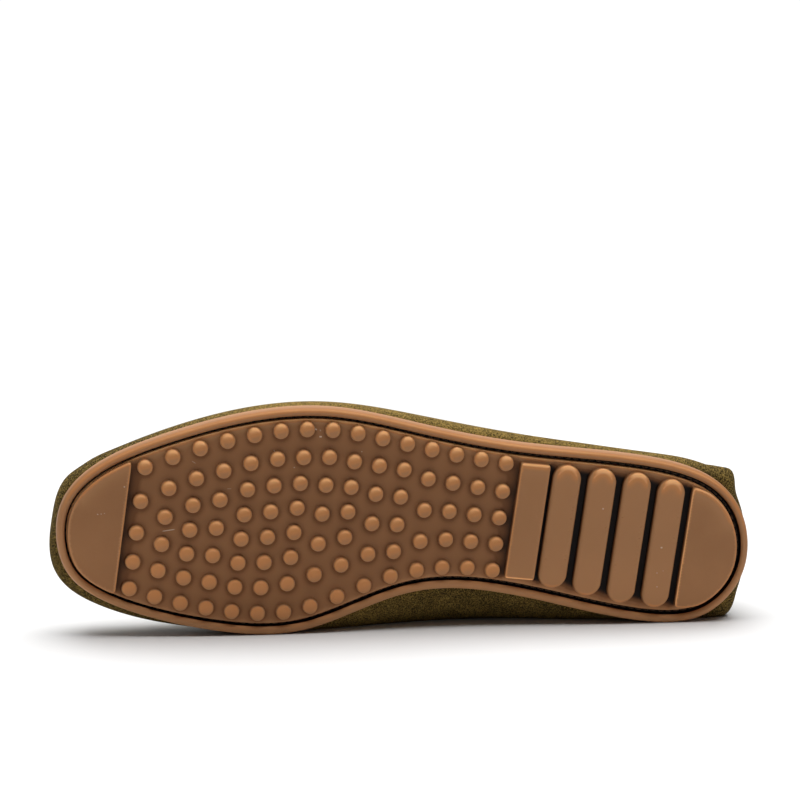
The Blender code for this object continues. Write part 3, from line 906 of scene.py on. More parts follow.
@dataclass(frozen=True)
class OliveSuede:
    """Brushed olive suede with a mottled nap, with painted light along its upward outer side and on
    its low inner side.
    """

    name: str = "olive_suede"
    dark: Colour = (0.014, 0.0094, 0.0020)
    pale: Colour = (0.362, 0.238, 0.063)
    tone: float = 0.27
    # Painted light: the outer side, which faces up, is lighter, less so towards the heel; the low
    # inner side behind the ball is lighter too.
    side_span: Span = (28.0, 46.0)
    side_painted_light: float = 0.19
    heel_span: Span = (5.0, 50.0)
    heel_share: float = 0.45
    arch_painted_light: float = 0.21
    arch_span: Span = (-42.0, -22.0)
    arch_front: Span = (165.0, 205.0)
    brushed: Noise = Noise(0.12, 4.0, 0.65)
    brushed_tone: float = 0.4
    pile: Colour = (1.0, 1.0, 0.6)
    nap: Noise = Noise(1.8, 3.0, 0.7)
    nap_tone: float = 2.5
    fibre: Noise = Noise(4.0, 2.0, 0.7)
    fibre_tone: float = 1.6
    fibre_height: float = 0.6
    nap_bump: Bump = Bump(0.6, 0.0003)
    roughness: float = 0.95
    specular: float = 0.1
    sheen: float = 0.1
    sheen_roughness: float = 0.4
    sheen_tint: Colour = (0.60, 0.43, 0.13)

    def make(self) -> bpy.types.Material:
        """Makes the finish.

        Returns:
            The material.
        """
        material, bench = new_material(self.name)
        place = bench.place()
        x, y = place.part("X"), place.part("Y")
        brushed = bench.noise(place, self.brushed)
        pile = bench.scale(place, self.pile)
        nap, fibre = bench.noise(pile, self.nap), bench.noise(pile, self.fibre)
        tone = self.tone + bench.attribute("tone", "Fac") + brushed * self.brushed_tone
        tone = tone + nap * self.nap_tone + fibre * self.fibre_tone
        # Painted light on the upward outer side, weaker at the heel, and on the low inner side
        # behind the ball.
        ahead = self.heel_share + x.step(*self.heel_span) * (1.0 - self.heel_share)
        tone = tone + y.step(*self.side_span) * self.side_painted_light * ahead
        arch = (1.0 - y.step(*self.arch_span)) * (1.0 - x.step(*self.arch_front))
        tone = tone + arch * self.arch_painted_light
        bench.surface({
            "Base Color": bench.mix(tone.step(0.0, 1.0), self.dark, self.pale),
            "Roughness": self.roughness,
            "Specular IOR Level": self.specular,
            "Sheen Weight": self.sheen,
            "Sheen Roughness": self.sheen_roughness,
            "Sheen Tint": (*self.sheen_tint, 1.0),
            "Normal": bench.bump(nap + fibre * self.fibre_height, self.nap_bump),
        })
        return material


@dataclass(frozen=True)
class Leather:
    """Smooth leather with a fine grain."""

    name: str
    dark: Colour
    pale: Colour
    roughness: float = 0.55
    specular: float = 0.4
    cell_scale: float = 0.8
    cell_tone: float = 0.3
    cell_bump: Bump = Bump(0.25, 0.0002)
    cloud: Noise = Noise(0.05, 3.0)
    cloud_span: Span = (-0.3, 0.4)
    cloud_roughness: float = 0.15

    def make(self) -> bpy.types.Material:
        """Makes the finish.

        Returns:
            The material.
        """
        material, bench = new_material(self.name)
        place = bench.place()
        sockets = {"Vector": place, "Scale": self.cell_scale}
        cells = bench.node("ShaderNodeTexVoronoi", {}, sockets, "Distance")
        cloud = bench.noise(place, self.cloud)
        share = (cloud + cells * self.cell_tone).step(*self.cloud_span)
        bench.surface({
            "Base Color": bench.mix(share, self.dark, self.pale),
            "Roughness": self.roughness + cloud * self.cloud_roughness,
            "Specular IOR Level": self.specular,
            "Normal": bench.bump(cells, self.cell_bump),
        })
        return material


@dataclass(frozen=True)
class Thread:
    """Waxed thread with a twist."""

    name: str
    dark: Colour
    pale: Colour
    twist: Noise = Noise(2.6, 2.0)
    twist_span: Span = (-0.2, 0.2)
    twist_bump: Bump = Bump(0.4, 0.0002)
    roughness: float = 0.7
    specular: float = 0.3

    def make(self) -> bpy.types.Material:
        """Makes the finish.

        Returns:
            The material.
        """
        material, bench = new_material(self.name)
        place = bench.place()
        twist = bench.noise(place, self.twist)
        bench.surface({
            "Base Color": bench.mix(twist.step(*self.twist_span), self.dark, self.pale),
            "Roughness": self.roughness,
            "Specular IOR Level": self.specular,
            "Normal": bench.bump(twist, self.twist_bump),
        })
        return material


@dataclass(frozen=True)
class BlockShape:
    """How a raised block of the tread is moulded, and the painted light and shade on its face and
    edges.
    """

    face_tone: float
    # Edge tones are painted highlights and shade on the rounded edges, by the way that each edge
    # faces.
    upper_edge: float
    lower_edge: float
    toe_edge: float
    heel_edge: float
    fillet: float = 0.3
    draft: float = 0.15
    edge: float = 0.8
    corner: float = 0.0
    spacing: float = 0.6
    # The glow is painted light that spreads in from the face's upper edge.
    painted_glow: float = 0.0
    painted_glow_reach: float = 1.0
    dome: float = 0.0
    strip: float = 0.0
    fillet_steps: int = 4
    edge_steps: int = 6

    def edge_tones(self, normal: Array) -> Array:
        """Finds the tone of the edge: painted highlight or painted shade by the way that it faces.

        Args:
            normal: Where the edge faces.

        Returns:
            The tone at each point.
        """
        share = normal ** 2
        along = np.where(normal[:, 0] > 0.0, self.toe_edge, self.heel_edge)
        across = np.where(normal[:, 1] > 0.0, self.upper_edge, self.lower_edge)
        return along * share[:, 0] + across * share[:, 1]

    def face_tones(self, away: Array) -> Array:
        """Returns the tone of the face, with a painted glow of light near its upper edge."""
        return self.face_tone + self.painted_glow * np.exp(-away / self.painted_glow_reach)

    def profile(self, rise: float) -> list[tuple[float, float, float]]:
        """Lists the rings of the block's side.

        Args:
            rise: The height of the block's face over the plate.

        Returns:
            Each ring's offset, height and share of the edge's tone, from the plate to the face.
        """
        rows = []
        for angle in np.linspace(0.0, QUARTER, self.fillet_steps):
            offset, height = (self.fillet * (1.0 - wave(angle)) for wave in (math.sin, math.cos))
            rows.append((offset, height, 0.0))
        for angle in np.linspace(0.0, QUARTER, self.edge_steps):
            offset = -self.draft - self.edge * (1.0 - math.cos(angle))
            height = rise - self.dome - self.edge * (1.0 - math.sin(angle))
            rows.append((offset, height, 0.5 + 0.5 * math.sin(angle)))
        return rows


@dataclass(frozen=True)
class EdgeLight:
    """The painted light along the plate's edge, stronger where the edge faces up."""

    light: float = 0.9
    reach: float = 2.1
    # The lip is a thin painted highlight right at the edge.
    lip: float = 0.12
    lip_reach: float = 0.5
    even: float = 0.7
    facing: float = 0.3

    def tones(self, far: Floats, normal: Array) -> Array:
        """Returns the tone that the painted light adds this far from an edge that faces these ways.
        """
        pale = self.light * np.exp(-far / self.reach) + self.lip * np.exp(-far / self.lip_reach)
        return pale * (self.even + self.facing * normal[:, 1])


@dataclass
class PlateShade:
    """The plate's tone: painted black shade between bars, painted shade beside blocks and painted
    light along its edge.
    """

    studs: Array
    blocks: list[Array]
    edge: Array
    edge_light: EdgeLight
    stud_radius: float
    light_way: Span
    stud_shade: float = 0.55
    stud_reach: float = 1.3
    side_shade: float = 0.74
    side_reach: float = 5.5
    gap_span: Span = (3.0, 6.5)
    facing_span: Span = (0.2, 0.95)

    def tones(self, points: Array) -> Array:
        """Finds the plate's tone of painted light and shade.

        Args:
            points: Points of the plate.

        Returns:
            The tone at each.
        """
        far, near = self.nearest(points, self.edge)
        tones = self.edge_light.tones(far, outward(self.edge)[near]) - self.by_studs(points)
        gaps, faces = [], []
        for block in self.blocks:
            gap, near = self.nearest(points, block)
            gaps.append(gap)
            faces.append(outward(block)[near, 0] ** 2)
        gap, sideways = np.stack(gaps), np.stack(faces)
        # Painted shade: black in narrow gaps where two blocks face each other, softer beside lone
        # blocks.
        two = np.argsort(gap, axis=0)[:2]
        facing = ease(np.take_along_axis(sideways, two, 0).min(axis=0), *self.facing_span)
        between = facing * (1.0 - ease(np.take_along_axis(gap, two, 0).sum(axis=0), *self.gap_span))
        shades = self.side_shade * sideways * np.clip(1.0 - gap / self.side_reach, 0.0, 1.0)
        shaded = tones - np.max(shades, axis=0)
        return np.clip(shaded - (1.0 + shaded) * between, -1.0, 1.0)

    def by_studs(self, points: Array) -> Array:
        """Finds the painted shade beside the studs, on the side away from the light.

        Args:
            points: Points of the plate.

        Returns:
            The shade at each.
        """
        from_stud = points[:, None] - self.studs[None]
        far = np.linalg.norm(from_stud, axis=-1)
        away = 0.5 - 0.5 * (from_stud @ np.array(self.light_way)) / far
        fall = np.exp(-np.clip(far - self.stud_radius, 0.0, None) / self.stud_reach)
        return np.max(self.stud_shade * away * fall, axis=1)

    def nearest(self, points: Array, loop: Array) -> tuple[Array, Array]:
        """Finds the nearest point of a loop.

        Args:
            points: Points in the plane.
            loop: A closed row of points.

        Returns:
            Each point's distance to the loop and the number of the loop's nearest point.
        """
        gap = np.linalg.norm(points[:, None] - loop[None], axis=-1)
        near = np.argmin(gap, axis=1)
        return gap[np.arange(len(points)), near], near


@dataclass
class Outsole:
    """The moulded gum-rubber sole with its rim, groove, plate, studs, bars and pads."""

    last: Last
    sections: int = 720
    corner_steps: int = 4
    same_point: float = 1e-4
    plate_face: float = 2.8
    plate_edge: float = 5.35
    plate_spacing: float = 1.1
    plate_margin: float = 0.6
    foot_margin: float = 0.5
    face_spacing: float = 0.75
    face_margin: float = 0.4
    row_share: float = 0.87
    stud_first: float = 257.6
    stud_pitch: float = 10.67
    stud_inset_inner: float = 9.5
    stud_inset_outer: float = 9.2
    stud_lean: Span = (0.027, 0.006)
    stud_radius: float = 3.3
    stud_sides: int = 28
    stud_rings: tuple[float, ...] = (0.75, 0.5, 0.25)
    bar_lean: float = 0.024
    bar_middle: float = 4.0
    square_at: float = 96.4
    square_width: float = 12.7
    square_inset: float = 7.7
    bar_first: float = 82.7
    bar_pitch: float = 14.93
    bar_count: int = 4
    bar_width: float = 12.2
    bar_inset: float = 6.9
    bar_points: int = 96
    pad_gap: float = 0.11
    pad_pull: float = 1.3
    pad_pull_reach: float = 14.0
    toe_chord: float = 262.7
    heel_chord: float = 29.2
    # Rim tones: painted highlight on the upward crown, painted shade on the inner flank and painted
    # black shade in the groove.
    rim_tone: float = 0.38
    rim_lit: float = 0.42
    rim_crown: Span = (0.2, 1.2)
    rim_flank_shade: float = 0.28
    flank_span: Span = (1.2, 3.6)
    flank_even: float = 0.3
    flank_facing: float = 0.7
    groove_shade_tone: float = -1.0
    groove_span: Span = (3.6, 3.85)
    groove_above: float = 2.6
    # light_way is where the painted light comes from; stud_slope, stud_low, stud_dim and stud_span
    # set the painted light on the studs.
    light_way: Span = (0.3, 0.95)
    upper_facing: float = 0.5
    stud_slope: float = 0.29
    stud_low: float = 0.15
    stud_dim: float = 0.02
    stud_span: Span = (-45.0, 25.0)
    edge_light: EdgeLight = EdgeLight()
    stud: BlockShape = BlockShape(
        face_tone=0.575, upper_edge=1.02, lower_edge=0.45, toe_edge=0.66, heel_edge=0.52,
        fillet=0.4, dome=0.35)
    bar: BlockShape = BlockShape(
        face_tone=0.38, upper_edge=1.1, lower_edge=0.55, toe_edge=0.22, heel_edge=0.36,
        painted_glow=0.7, painted_glow_reach=1.6, strip=0.9)
    square: BlockShape = BlockShape(
        face_tone=0.29, upper_edge=1.05, lower_edge=0.95, toe_edge=0.7, heel_edge=0.5,
        edge=0.4, corner=2.2, spacing=0.4, painted_glow=0.6, painted_glow_reach=1.6)
    toe_pad: BlockShape = BlockShape(
        face_tone=0.15, upper_edge=0.8, lower_edge=0.5, toe_edge=0.5, heel_edge=0.6,
        fillet=0.04, draft=0.1, edge=0.45, corner=4.2, spacing=0.5, painted_glow=0.35, painted_glow_reach=2.0)
    heel_pad: BlockShape = BlockShape(
        face_tone=0.2, upper_edge=0.95, lower_edge=0.6, toe_edge=0.85, heel_edge=0.6,
        fillet=0.04, draft=0.1, edge=0.45, corner=4.2, spacing=0.5, painted_glow=0.5, painted_glow_reach=2.2)
    shade: PlateShade = field(init=False)

    def build(self) -> bpy.types.Object:
        """Builds and dresses the outsole.

        Returns:
            The piece.
        """
        draft = Draft(self.last)
        edge = self.rim(draft)
        blocks = self.bar_loops() + self.pad_loops()
        studs = self.stud_places()
        outline = anticlockwise(draft.at(edge)[:, :2])
        loops = [anticlockwise(loop) for loop, _ in blocks]
        self.shade = PlateShade(
            studs, loops, outline, self.edge_light, self.stud_radius, self.light_way)
        holes = [self.raise_stud(draft, centre) for centre in studs]
        holes += [self.raise_block(draft, loop, shape) for loop, (_, shape) in zip(loops, blocks)]
        self.plate(draft, edge, holes)
        piece = draft.piece("outsole_dressed", Slot.RUBBER, GumRubber().make())
        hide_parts("outsole")
        return piece

    def profile(self) -> list[Array]:
        """Rounds the corners of the rim's profile.

        Returns:
            Its points, as inset and height.
        """
        corners = np.array([(point.inset, point.height) for point in RIM])
        rows = [corners[0]]
        for k in range(1, len(corners) - 1):
            here = corners[k]
            start, end = (
                here + unit(way) * min(RIM[k].soft, 0.5 * np.linalg.norm(way))
                for way in (corners[k - 1] - here, corners[k + 1] - here)
            )
            for t in np.linspace(0.0, 1.0, self.corner_steps):
                row = (1.0 - t) ** 2 * start + 2.0 * t * (1.0 - t) * here + t * t * end
                if np.linalg.norm(row - rows[-1]) > self.same_point:
                    rows.append(row)
        return rows + [corners[-1]]

    def rim(self, draft: Draft) -> Array:
        """Adds the rim and the groove.

        Args:
            draft: The mesh that they go into.

        Returns:
            The point numbers of the plate's edge.
        """
        turns = even_turns(self.sections)
        rings = []
        for inset, height in self.profile():
            ring = self.last.ring(turns, self.last.true_inset(turns, inset), height)
            rings.append(draft.add(ring, self.rim_tones(turns, inset, height)))
        draft.loft(rings)
        draft.lid(rings[0])
        return rings[-1]

    def rim_tones(self, turns: Array, inset: float, height: float) -> Array:
        """Finds the rubber's tone round one ring of the rim's profile.

        Args:
            turns: The ring's turns.
            inset: How far inside the rim's outline it lies in the profile.
            height: How far above the tread.

        Returns:
            The tone at each turn: painted black shade in the groove and painted light on the
                plate's edge.
        """
        _, normal = self.last.rim_edge(turns)
        if inset > self.last.groove_end:
            return self.edge_light.tones(0.0, normal)
        # Painted highlight on the bead's crown where it faces up, painted shade on its inner flank.
        flank = ease(inset, *self.flank_span)
        crown = ease(inset, *self.rim_crown) * (1.0 - flank)
        bead = self.rim_tone + self.rim_lit * crown * np.clip(normal[:, 1], 0.0, 1.0)
        bead -= self.rim_flank_shade * flank * (self.flank_even + self.flank_facing * normal[:, 1])
        in_groove = ease(inset, *self.groove_span) if height > self.groove_above else 0.0
        return bead + (self.groove_shade_tone - bead) * in_groove

    def stud_places(self) -> Array:
        """Places the studs, column by column from the toe.

        Returns:
            The middle of every stud.
        """
        places = []
        leans = np.linspace(*self.stud_lean, len(STUD_COLUMNS))
        for index, (column, lean) in enumerate(zip(STUD_COLUMNS, leans)):
            at = self.stud_first - index * self.stud_pitch
            inner, _ = self.last.sides(self.stud_inset_inner, at)
            _, outer = self.last.sides(self.stud_inset_outer, at)
            t = np.linspace(0.0, 1.0, column.count)
            share = t + t * (1.0 - t) * (column.crowd + column.sway * (1.0 - 2.0 * t))
            width = outer - inner
            x = at - lean * width * (share - 0.5)
            places.append(np.column_stack([x, inner + width * share]))
        return np.vstack(places)

    def lean(self, loop: Array) -> Array:
        """Returns a bar's outline with the slight slant that bars and pads have."""
        x, y = loop.T
        return np.column_stack([x - self.bar_lean * (y - self.bar_middle), y])

    def bar_loops(self) -> list[tuple[Array, BlockShape]]:
        """Draws the rectangular bar and the bars with round ends.

        Returns:
            The outline and the shape of each.
        """
        inner, outer = self.last.sides(self.square_inset, self.square_at)
        ahead, behind = (self.square_at + way * self.square_width / 2.0 for way in (1.0, -1.0))
        corners = np.array([(ahead, inner), (ahead, outer), (behind, outer), (behind, inner)])
        square = soft_corners(self.lean(corners), self.square.corner, self.square.spacing)
        loops = [(square, self.square)]
        radius = self.bar_width / 2.0
        way = circle(self.bar_points)
        for index in range(self.bar_count):
            at = self.bar_first - index * self.bar_pitch
            inner, outer = self.last.sides(self.bar_inset, at)
            middle = np.where(way[:, 1] >= 0.0, outer - radius, inner + radius)
            round_ends = np.column_stack([at + radius * way[:, 0], middle + radius * way[:, 1]])
            loops.append((even_loop(self.lean(round_ends), self.bar.spacing), self.bar))
        return loops

    def pad_loops(self) -> list[tuple[Array, BlockShape]]:
        """Draws the toe pad and the heel pad.

        Returns:
            The outline and the shape of each.
        """
        turns = even_turns(FINE_STEPS)
        loops = []
        for pad, chord in ((self.toe_pad, self.toe_chord), (self.heel_pad, self.heel_chord)):
            toe = pad is self.toe_pad
            at = turns if toe else turns - HALF_TURN
            inset = self.last.true_inset(at, self.plate_edge) + self.pad_gap
            if not toe:
                pull = ease(self.last.station(at), chord - self.pad_pull_reach, chord)
                inset += self.pad_pull * pull
            ring = self.last.ring(at, inset, 0.0)[:, :2]
            ahead = ring[:, 0] + self.bar_lean * (ring[:, 1] - self.bar_middle) - chord
            outline = ring[ahead > 0.0 if toe else ahead < 0.0]
            loops.append((soft_corners(outline, pad.corner, pad.spacing), pad))
        return loops

    def raise_rings(self, draft: Draft, loop: Array, shape: BlockShape) -> list[Array]:
        """Adds the side of a block, from the plate's painted shade at its foot to the painted edge
        tones at its face.

        Args:
            draft: The mesh that it goes into.
            loop: The block's outline.
            shape: How it is moulded.

        Returns:
            The point numbers of its rings, from the plate to the face.
        """
        normal = outward(loop)
        foot = self.shade.tones(loop + shape.fillet * normal)
        edge = shape.edge_tones(normal)
        rings = []
        for offset, height, share in shape.profile(self.plate_face):
            points = self.last.lift(loop + offset * normal, self.plate_face - height)
            rings.append(draft.add(points, foot + (edge - foot) * share))
        draft.loft(rings)
        return rings

    def raise_stud(self, draft: Draft, centre: Array) -> Array:
        """Adds a stud, with a painted highlight on its upper edge and a painted gradient of light
        across its face.

        Args:
            draft: The mesh that it goes into.
            centre: Its middle.

        Returns:
            The point numbers of its foot.
        """
        stud, way = self.stud, circle(self.stud_sides)
        # Painted light: studs higher up get brighter upper edges and a steeper painted gradient
        # across the face.
        lit = self.stud_low + (1.0 - self.stud_low) * ease(centre[1], *self.stud_span)
        face = stud.face_tone - self.stud_dim * (1.0 - lit)
        upper = face + (stud.upper_edge - stud.face_tone) * lit
        shape = replace(stud, upper_edge=upper, toe_edge=stud.toe_edge + face - stud.face_tone)
        rings = self.raise_rings(draft, centre + self.stud_radius * way, shape)
        slope = self.stud_slope * lit * way @ np.array(self.light_way)
        radius = self.stud_radius - stud.draft - stud.edge
        dome = [rings[-1]]
        for share in self.stud_rings:
            points = self.last.lift(centre + share * radius * way, stud.dome * share ** 2)
            dome.append(draft.add(points, face + slope * share))
        draft.loft(dome)
        draft.fan(dome[-1], self.last.lift(centre[None], 0.0)[0], face)
        return rings[0]

    def raise_block(self, draft: Draft, loop: Array, shape: BlockShape) -> Array:
        """Adds a bar or pad.

        Args:
            draft: The mesh that it goes into.
            loop: Its outline.
            shape: How it is moulded.

        Returns:
            The point numbers of its foot.
        """
        rings = self.raise_rings(draft, loop, shape)
        face = draft.at(rings[-1])[:, :2]
        # The painted glow on the face spreads from the points of its edge that face up.
        upper = face[outward(face)[:, 1] > self.upper_facing]

        def on_face(points: Array) -> Array:
            """Adds points of the face with their painted glow and returns their numbers."""
            away = np.min(np.linalg.norm(points[:, None] - upper[None], axis=-1), axis=1)
            return draft.add(self.last.lift(points, 0.0), shape.face_tones(away))

        border, strip = face, rings[-1]
        if shape.strip:
            border = face - shape.strip * outward(face)
            strip = on_face(border)
            draft.band(rings[-1], strip)
        points = self.grid(border, self.face_spacing)
        points = points[inside(points, border - self.face_margin * outward(border))]
        draft.fill([strip], on_face(points))
        return rings[0]

    def grid(self, loop: Array, spacing: float) -> Array:
        """Spreads points in staggered rows over a loop's box.

        Args:
            loop: The loop.
            spacing: Distance between the points of a row.

        Returns:
            The points.
        """
        low, high = loop.min(axis=0), loop.max(axis=0)
        rows = np.arange(low[1], high[1], spacing * self.row_share)
        columns = np.arange(low[0], high[0], spacing)
        x = columns[None, :] + (np.arange(len(rows)) % 2)[:, None] * spacing / 2.0
        return np.column_stack([x.ravel(), np.repeat(rows, len(columns))])

    def plate(self, draft: Draft, edge: Array, holes: list[Array]) -> None:
        """Adds the plate between its edge and the feet of the blocks, with its painted light and
        shade.

        Args:
            draft: The mesh that it goes into.
            edge: Point numbers of its edge.
            holes: Point numbers of the feet.
        """
        outline = self.shade.edge
        points = self.grid(outline, self.plate_spacing)
        points = points[inside(points, outline - self.plate_margin * outward(outline))]
        for hole in holes:
            loop = anticlockwise(draft.at(hole)[:, :2])
            points = points[~inside(points, loop + self.foot_margin * outward(loop))]
        inner = draft.add(self.last.lift(points, self.plate_face), self.shade.tones(points))
        draft.fill([edge, *holes], inner)


@dataclass(frozen=True)
class Stitch:
    """One stitch of a row: its pitch and size, how far its points leave the row and its taper."""

    pitch: float
    length: float
    radius: float
    shift: tuple[float, ...]
    taper: tuple[float, ...] = (0.5, 0.9, 1.0, 0.9, 0.5)

    def along(self, middle: float, grain: float = 1.0) -> Array:
        """Returns where its points lie along the row, which is measured in steps of grain."""
        return middle + np.linspace(-0.5, 0.5, len(self.taper)) * self.length / grain


@dataclass
class GrooveThread:
    """The dark stitches that lie in the groove of the sole."""

    last: Last
    inset: float = 4.55
    height: float = 4.75
    fit: float = 0.36
    grain: float = 0.1
    end_gap: int = 5
    stitch: Stitch = Stitch(3.3, 2.6, 0.42, (0.35, 0.08, 0.0, 0.08, 0.35))
    thread: Thread = Thread("groove_thread", (0.008, 0.005, 0.0025), (0.12, 0.066, 0.032))

    def build(self) -> bpy.types.Object:
        """Builds and dresses the stitches.

        Returns:
            The piece.
        """
        last, stitch, turns = self.last, self.stitch, even_turns(FINE_STEPS)
        width = last.true_inset(turns, last.groove_end) - last.true_inset(turns, last.groove_start)
        ring = last.ring(turns, last.true_inset(turns, self.inset), self.height)
        radii = np.minimum(stitch.radius, self.fit * width)
        line = even_loop(np.column_stack([ring, radii]), self.grain)
        draft = Draft(last)
        for middle in np.arange(0.0, len(line) - self.end_gap, stitch.pitch / self.grain):
            at = stitch.along(middle, self.grain).round().astype(int) % len(line)
            path = line[at, :3]
            path[:, 2] += stitch.shift
            draft.rod(path, line[at, 3] * stitch.taper)
        return draft.piece("groove_stitches", Slot.RUBBER, self.thread.make())


@dataclass
class Upper:
    """The hollow suede upper with its apron seam and turned collar."""

    last: Last
    wall: float = 2.0
    feather_inset: float = 1.3
    heel_centre: float = 45.0
    toe_centre: float = 250.0
    toe_fan_share: float = 0.45
    centre_at_heel: float = 4.0
    centre_at_toe: float = -9.0
    belly_round: float = 0.8
    round_across: float = 2.2
    round_up_back: float = 1.3
    round_up_front: float = 1.8
    round_span: Span = (90.0, 170.0)
    corner_fade: float = 0.6
    throat_turn: float = 98.0
    throat_close_up: float = 7.0
    throat_sections: int = 22
    back_sections: int = 92
    front_sections: int = 136
    belly_levels: int = 8
    wall_levels: int = 24
    seam_levels: int = 8
    crown_levels: int = 16
    seam_share: float = 0.60
    seam_half_width: float = 0.045
    seam_rise: float = 1.2
    seam_span: Span = (150.0, 185.0)
    seam_end_share: float = 0.90
    collar_round: float = 0.6
    collar_steps: int = 7
    bead_width: float = 3.6
    bead_soft: float = 0.6
    bead_rise: float = 0.45
    pucker_pitch: float = 5.2
    pucker_rise: float = 0.45
    pucker_front: Span = (205.0, 245.0)
    pucker_below: Span = (-1.0, 1.5)
    pucker_fade: Span = (3.0, 10.0)
    heel_seam_depth: float = 0.5
    heel_seam_width: float = 0.8
    heel_lip: float = 0.18
    heel_lip_at: float = 1.9
    # Painted light and shade on the relief: puckers, troughs and the seam's ridge.
    fold_painted_shading: float = 0.14
    trough_painted_shade: float = 0.22
    trough_width: float = 1.0
    ridge_painted_light: float = 0.10
    lining: Leather = Leather("calf_lining", (0.20, 0.115, 0.055), (0.30, 0.18, 0.09))
    outer: Array = field(init=False)

    @property
    def throat(self) -> int:
        """Returns the number of the throat's section."""
        return self.back_sections + self.throat_sections - 1

    @property
    def seam_rows(self) -> tuple[int, int, int]:
        """Returns the first, the middle and the last row of the seam."""
        first = self.belly_levels + self.wall_levels
        return first, first + self.seam_levels // 2, first + self.seam_levels

    def open_sections(self, clear: int = 0) -> Array:
        """Returns the numbers of the collar's sections, round the heel from throat to throat."""
        return np.arange(clear - self.throat, self.throat - clear + 1)

    def spine(self, sections: int) -> Array:
        """Returns the numbers of the sections in front of the throat, on one side."""
        return np.arange(self.throat, sections // 2 + 1)

    def turns(self) -> Array:
        """Spaces the sections, closer together beside the throat.

        Returns:
            Their turns.
        """
        back = np.linspace(0.0, self.throat_turn - self.throat_close_up, self.back_sections)
        near = np.arange(1, self.throat_sections + 1) / self.throat_sections
        throat = self.throat_turn - self.throat_close_up * (1.0 - near) ** 2
        front = np.linspace(self.throat_turn, HALF_TURN, self.front_sections + 1)[1:]
        half = np.concatenate([back, throat, front])
        return np.concatenate([half, FULL_TURN - half[-2:0:-1]])

    def centre_line(self, stations: Array) -> Array:
        """Finds the long axis that the sections turn round.

        Args:
            stations: The sections' stations along the sole.

        Returns:
            The point of the axis for each.
        """
        back = np.maximum(stations, self.heel_centre)
        along = np.minimum(back, self.toe_centre + self.toe_fan_share * (back - self.toe_centre))
        side = (self.centre_at_toe - self.centre_at_heel) * along / self.last.length
        return np.column_stack([along, self.centre_at_heel + side])

    def levels(self, stations: Array) -> tuple[Array, Array]:
        """Spaces the rows of the wall, closer together at the seam.

        Args:
            stations: The sections' stations along the sole.

        Returns:
            The level of each row as a share of the wall, and how far the seam rises there.
        """
        full = ease(stations, *self.seam_span)
        seam = (self.seam_end_share + (self.seam_share - self.seam_end_share) * full)[:, None]
        steps = np.linspace(0.0, 1.0, self.wall_levels, endpoint=False)
        below = (seam - self.seam_half_width) * steps
        across = np.linspace(-1.0, 1.0, self.seam_levels + 1)
        ridge = seam + self.seam_half_width * across
        top = seam + self.seam_half_width
        above = top + (1.0 - top) * np.linspace(0.0, 1.0, self.crown_levels + 1)[1:]
        bulge = full[:, None] * self.seam_rise * np.cos(across * QUARTER) ** 2
        rise = np.concatenate([np.zeros_like(below), bulge, np.zeros_like(above)], axis=1)
        return np.concatenate([below, ridge, above], axis=1), rise

    def normals(self, grid: Array) -> Array:
        """Finds the outward normals of a grid.

        Args:
            grid: Points by section and level.

        Returns:
            The normal at each.
        """
        round_way = np.roll(grid, -1, 0) - np.roll(grid, 1, 0)
        normal = np.cross(np.gradient(grid, axis=1), round_way)
        toe = len(grid) // 2
        normal[toe, -1] = normal[toe, -2]
        return unit(self.weld(unit(normal)))

    def weld(self, grid: Array) -> Array:
        """Brings the two sides together along the spine in front of the throat.

        Args:
            grid: Values by section and level, which are changed.

        Returns:
            The same grid.
        """
        front = self.spine(len(grid))
        middle = (grid[front, -1] + grid[-front, -1]) / 2.0
        grid[front, -1] = grid[-front, -1] = middle
        return grid

    def shape(self) -> tuple[Array, Array]:
        """Shapes the upper without its finer relief.

        Returns:
            The outer points by section and level, and the seam's rise there.
        """
        last, turns = self.last, self.turns()
        edge, normal = last.rim_edge(turns)
        stations = edge[:, 0]
        feather = edge - self.feather_inset * normal
        low = last.sole_top + last.piece_gap + last.bend(feather[:, 0])
        corner = last.corner_reach(turns)[:, None] * normal
        wide = edge + last.around("out", turns)[:, None] * normal
        wide_up = last.sole_top + last.around("up", turns) + last.bend(stations)
        centre = self.centre_line(stations)
        crest = smooth_table(CREST, np.where(stations < self.heel_centre, stations, centre[:, 0]))
        share = np.clip((smooth_table(TOPLINE, stations) - wide_up) / (crest - wide_up), 0.0, 1.0)
        round_up = ease(stations, *self.round_span)
        round_up = self.round_up_back + (self.round_up_front - self.round_up_back) * round_up
        limit = np.full(len(turns), QUARTER)
        behind = self.open_sections(1)
        limit[behind] = np.arcsin(share ** (round_up / 2.0))[behind]
        rows = []
        for step in np.linspace(0.0, 1.0, self.belly_levels, endpoint=False):
            lean = QUARTER * step
            across = self.belly_round * math.sin(lean) + (1.0 - self.belly_round) * step
            lift = self.belly_round * (1.0 - math.cos(lean)) + (1.0 - self.belly_round) * step
            flat = feather + (wide + corner - feather) * across
            rows.append(np.column_stack([flat, low + (wide_up - low) * lift]))
        levels, rise = self.levels(stations)
        for level in levels.T:
            angle = limit * level
            reach = np.clip(np.cos(angle), 0.0, 1.0) ** (2.0 / self.round_across)
            lift = np.sin(angle) ** (2.0 / round_up)
            flat = centre + (wide - centre) * reach[:, None]
            flat += corner * (1.0 - self.corner_fade * level[:, None])
            rows.append(np.column_stack([flat, wide_up + (crest - wide_up) * lift]))
        belly = np.zeros((len(turns), self.belly_levels))
        return self.weld(np.stack(rows, axis=1)), np.concatenate([belly, rise], axis=1)

